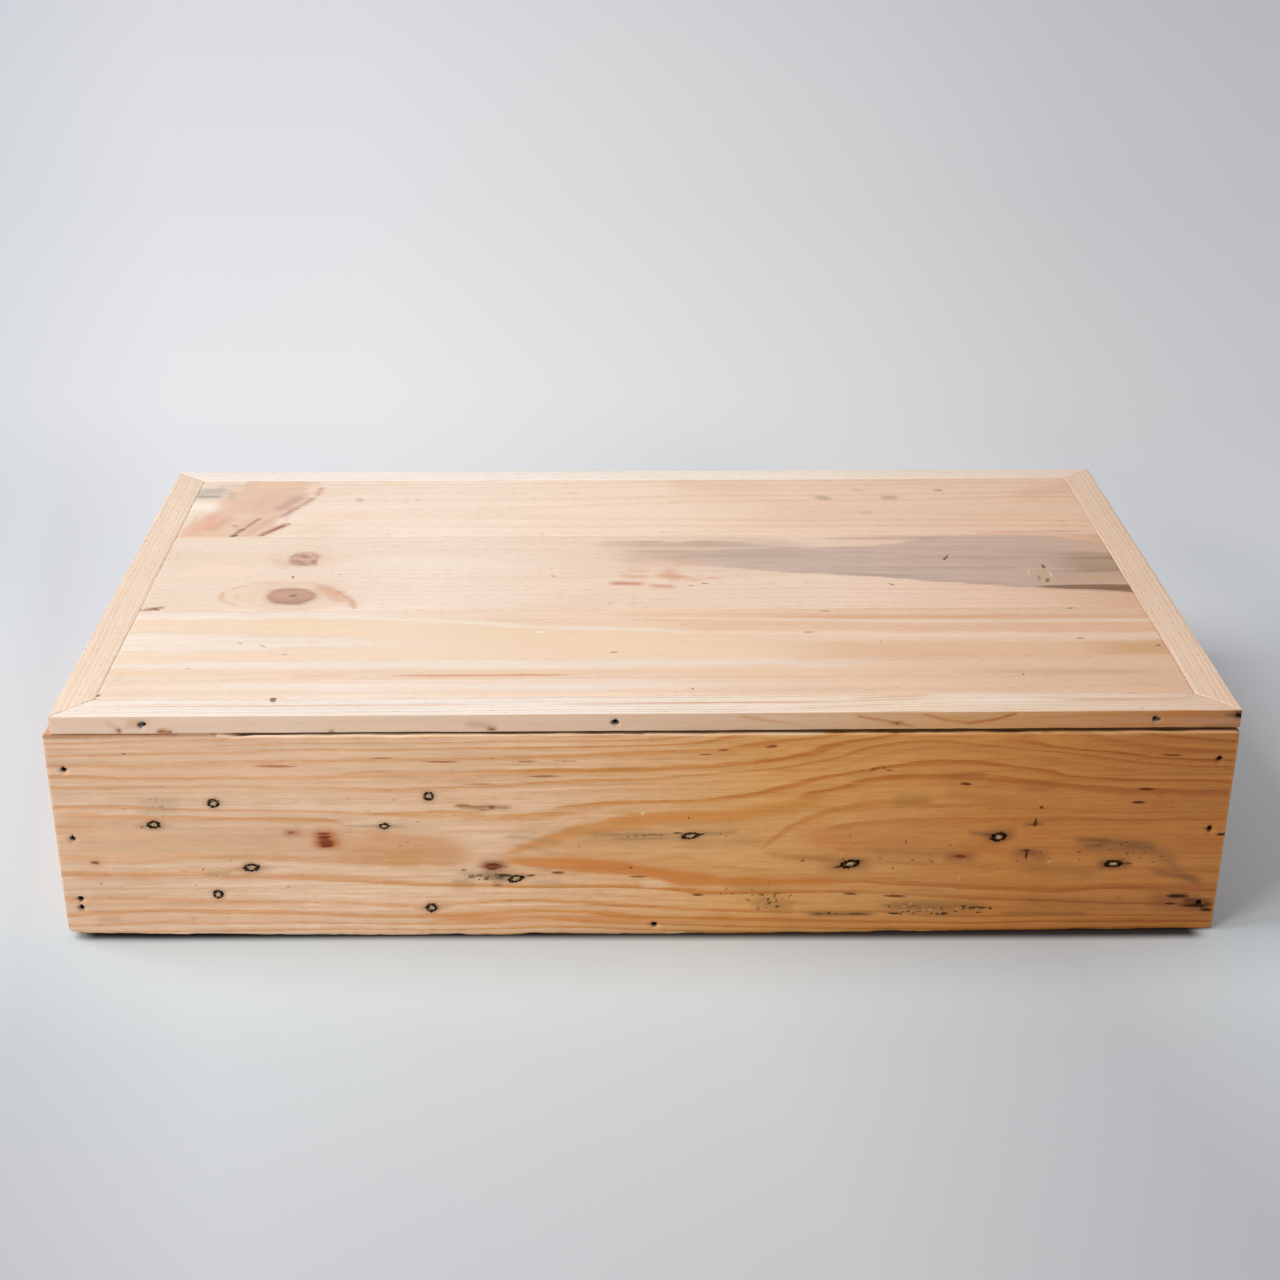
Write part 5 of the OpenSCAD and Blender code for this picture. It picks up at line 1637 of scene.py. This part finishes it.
@dataclass
class FramedLid(BoxCarcass):
    """The loose lid: three planks inside a thin mitred frame, with two cleats below."""

    body: str = "lid"
    strip_widths: tuple[float, float, float] = (20.0, 17.0, 19.0)
    # tones of the front strip's front face along it: partly the wood's own colour, partly painted shade darkening it
    # toward the right
    edge_tones_and_shade: Tones = (
        (-300.0, "dfbda3"), (-180.0, "e6c5a8"), (0.0, "deb898"), (90.0, "d5a97f"), (150.0, "d4995c"),
        (265.0, "bd742b"), (300.0, "ae6a2a"))

    def build(self, finishes: dict[str, bpy.types.Material]) -> None:
        """Makes planks, strips and cleats.

        Args:
            finishes: the materials by their place.
        """
        for node, growth, knots, stains, marks in (
            ("lid_plank_front", PithGrowth(-90, 60, 0.01, 8.5, 3, 81), (), LID_FRONT_STAINS, LID_FRONT_MARKS),
            ("lid_plank_middle", PithGrowth(15, 10, 0.03, 6.0, 6, 91), LID_KNOTS, LID_MIDDLE_STAINS,
             LID_MIDDLE_MARKS),
            ("lid_plank_back", PithGrowth(105, 16, -0.03, 8.0, 6, 101), (), LID_BACK_STAINS, LID_BACK_MARKS),
        ):
            board = BoardFrame(node, Facing.UP)
            self.dress(BoardShape(board, cell=1.15, back_cell=5.0, edge=0.45, wear=0.12, seed=growth.seed),
                       Figure(growth, knots, stains, marks, shift=(board.origin[0], board.origin[1])),
                       finishes[node], "lid_pine")
        front_w, back_w, side_w = self.strip_widths
        for side, facing, low, high in (
            ("front", Facing.UP, side_w / front_w, side_w / front_w),
            ("back", Facing.STRIP_BACK, side_w / back_w, side_w / back_w),
            ("left", Facing.STRIP_LEFT, back_w / side_w, front_w / side_w),
            ("right", Facing.STRIP_RIGHT, front_w / side_w, back_w / side_w),
        ):
            node = f"lid_strip_{side}"
            board = BoardFrame(node, facing)
            nails = tuple((place[0], -board.depth / 2, self.hole_radius, self.hole_depth)
                          for place in nail_places(node.replace("lid_strip", "lid") + "_strip_nails", board))
            front = side == "front"
            seen = dict(stains=STRIP_STAINS, marks=STRIP_MARKS, edge_tones_and_shade=self.edge_tones_and_shade,
                        edge_stains_and_shade=STRIP_FACE_STAINS_AND_SHADE, edge_marks=STRIP_FACE_MARKS,
                        shift=(board.origin[0], board.origin[1])) if front else {}
            self.dress(BoardShape(board, cell=1.0 if front else 1.2, back_cell=3.0, edge=0.5, wear=0.15,
                                  mitre_low=low, mitre_high=high, edge_holes=nails,
                                  side_cell=0.8 if front else 1.0, seed=110),
                       Figure(PithGrowth(-60, 40, 0.01, 2.4, 1.0, 111), **seen), finishes[node], "strip_pine")
        for side in ("left", "right"):
            board = BoardFrame(f"lid_cleat_{side}", Facing.CLEAT)
            self.dress(BoardShape(board, cell=1.6, back_cell=3.0, edge=0.6, wear=0.2,
                                  holes=self.holes(board, f"lid_cleat_{side}_nails"), seed=121),
                       Figure(PithGrowth(-20, 20, 0.02, 3.0, 1.5, 122)), finishes["plain"], "plain_pine")


@dataclass
class Nails:
    """The steel in the box: brads in their punched holes and the sawn shanks of old nails."""

    stub_share: float = 0.42
    stub_length: float = 16.9
    stub_sides: int = 28

    def stubs(self, steel: bpy.types.Material) -> None:
        """Makes the sawn stubs as uneven ovals.

        The outline of each is its ring's ellipse, smaller by stub_share, times
        1 + 0.12 cos(2t + p) + 0.07 cos(3t + q) with its own p and q. Three such loops and two end faces close it; the
        last loop is the eased rim.

        Args:
            steel: their material.
        """
        board = BoardFrame("front_board", Facing.FRONT)
        turn = np.arange(self.stub_sides) * 2 * math.pi / self.stub_sides
        rows = np.array([(old.a, old.b, old.half_a, old.half_b, old.tilt) for old in OLD_NAILS])
        luck = np.random.default_rng(5).uniform(0, 2 * math.pi, (len(rows), 2, 1))
        uneven = 1 + 0.12 * np.cos(2 * turn + luck[:, 0]) + 0.07 * np.cos(3 * turn + luck[:, 1])
        da = rows[:, 2:3] * self.stub_share * uneven * np.cos(turn)
        db = rows[:, 3:4] * self.stub_share * uneven * np.sin(turn) + rows[:, 4:5] * da
        loops = [np.stack((rows[:, 0:1] + share * da, rows[:, 1:2] + share * db, 0 * da + out), -1)
                 for share, out in ((1.0, -self.stub_length), (1.0, -0.10), (0.86, 0.03))]
        points = np.stack(loops, 1).reshape(-1, 3)
        count, n = len(rows), self.stub_sides
        k, level, j = np.meshgrid(np.arange(count), np.arange(2), np.arange(n), indexing="ij")
        base, nxt = (k * 3 + level) * n, (j + 1) % n
        quads = np.stack((base + j, base + nxt, base + n + nxt, base + n + j), -1).reshape(-1, 4)
        starts = np.arange(count)[:, None] * 3 * n
        top, low = starts + 2 * n + np.arange(n), starts + np.arange(n)[::-1]
        mesh = bpy.data.meshes.new("old_nail_stubs")
        mesh.from_pydata(board.world(points).tolist(), [], [*quads.tolist(), *top.tolist(), *low.tolist()])
        mesh.validate()
        piece = bpy.data.objects.new("old_nail_stubs", mesh)
        bpy.context.scene.collection.objects.link(piece)
        mesh.materials.append(steel)
        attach(piece, "box")
        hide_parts("front_board_old_nails")
        log.info("%s: %d faces", piece.name, len(mesh.polygons))

    def build(self, brad: bpy.types.Material, stub: bpy.types.Material) -> None:
        """Gives every brad its steel and makes the old stubs.

        Args:
            brad: steel of the brads.
            stub: steel of the old stubs.
        """
        for name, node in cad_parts.items():
            if "nail" in name and "old" not in name:
                node.data.materials.clear()
                node.data.materials.append(brad)
                log.info("%s: steel", name)
        self.stubs(stub)


def main() -> None:
    """Builds the studio, the box and its lid."""
    logging.basicConfig(level=logging.INFO, format="%(name)s %(message)s")
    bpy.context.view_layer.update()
    Studio().build()
    finishes = {
        # orange-brown with strong rings, paler at the left; its darkening toward the right is partly the wood's own
        # colour and partly painted shade where the light falls off
        "front": PineFinish("front_pine_sanded", (
            (0.0, "dcbb9f"), (0.2, "e6c5a7"), (0.4, "e8c19d"), (0.6, "e0a663"), (0.8, "cf8b46"), (1.0, "c07d3e")), (
            (0.0, "d49d70"), (0.2, "daa274"), (0.4, "d69552"), (0.6, "ca7d34"), (0.8, "b86d2c"), (1.0, "a65e29")),
            contrast=1.0, streak=0.25, fibre=0.24, blotch=0.13),
        # even honey brown with clear rings
        "wall": PineFinish("wall_pine_sanded",
                           ((0.0, "dcb48c"), (1.0, "d0a678")), ((0.0, "bd8354"), (1.0, "b07848"))),
        # cream, pinker to the right, with faint rings
        "lid_plank_front": PineFinish(
            "lid_front_pine_sanded", ((0.0, "e2ccb8"), (0.3, "eed7c2"), (0.5, "f3d4b9"), (1.0, "e4bb9b")),
            ((0.0, "d8ba9a"), (0.3, "e5c4a4"), (0.5, "e8be9a"), (1.0, "daa988")), contrast=0.4, streak=0.05,
            fibre=0.05),
        # pale rose cream, so plain that the knots and the grey burl stand out
        "lid_plank_middle": PineFinish(
            "lid_middle_pine_sanded", (
                (0.0, "e2cdba"), (0.3, "f1decd"), (0.5, "f0d5bf"), (0.6, "f1d5c0"), (0.68, "f4d8c1"),
                (0.76, "f2d0b8"), (0.87, "eec8ad"), (1.0, "dcae8c")),
            ((0.0, "e2c6a8"), (0.3, "ebcaad"), (0.5, "ebc3a1"), (1.0, "dcab87")), contrast=0.25, streak=0.06,
            fibre=0.05),
        # the lightest plank, with broad soft rings
        "lid_plank_back": PineFinish(
            "lid_back_pine_sanded",
            ((0.0, "e8d5c2"), (0.3, "f6e2d0"), (0.5, "fae0ca"), (0.7, "f5d5b9"), (1.0, "f0cbae")),
            ((0.0, "e2c6a8"), (0.3, "eecdae"), (0.5, "eec6a4"), (0.7, "e6b890"), (1.0, "deab84")), contrast=0.4,
            streak=0.05, fibre=0.05),
        # planed strips, nearly white, the front one with fine lines and the others with hardly any; the front one
        # turns warmer and darker toward the right, partly painted shade where the light falls off
        "lid_strip_front": PineFinish(
            "lid_strip_front_planed",
            ((0.0, "e9e1da"), (0.3, "f2eae2"), (0.55, "f7e9da"), (0.7, "f8e4cd"), (1.0, "eccfb7")),
            ((0.0, "dcae88"), (1.0, "d0a07a")), contrast=0.6, streak=0.09, fibre=0.12),
        "lid_strip_back": PineFinish(
            "lid_strip_back_planed", ((0.0, "f3dac6"), (0.35, "f9ecdc"), (0.6, "faf0e5"), (1.0, "f0e6de")),
            ((0.0, "dcae88"), (1.0, "dcae88")), contrast=0.2, streak=0.04),
        "lid_strip_left": PineFinish(
            "lid_strip_left_planed", ((0.0, "e6d1be"), (1.0, "e6d1be")), ((0.0, "d29a66"), (1.0, "d29a66")),
            contrast=0.34, streak=0.05),
        "lid_strip_right": PineFinish(
            "lid_strip_right_planed", ((0.0, "f2d3b9"), (1.0, "f2d3b9")), ((0.0, "cf9c74"), (1.0, "cf9c74")),
            contrast=0.36, streak=0.05),
        # straw-coloured bottom and cleats
        "plain": PineFinish("plain_pine_sawn",
                            ((0.0, "e2c29c"), (1.0, "dcb890")), ((0.0, "c4925f"), (1.0, "bc8a58"))),
    }
    made = {key: finish.material() for key, finish in finishes.items()}
    BoxCarcass().build(made)
    FramedLid().build(made)
    # heads nearly black and dull, the steel darkened as painted shade of their punched holes; old stubs tan and
    # ground flush
    Nails().build(SteelFinish("brad_steel_painted_shade", "18110e", "120b08", 0.9, 0.8, 0.0, 0.05).material(),
                  SteelFinish("old_nail_steel_sawn", "bba27e", "86663f", 0.6, 0.56, 0.12).material())
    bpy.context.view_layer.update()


if __name__ == "__main__":
    main()
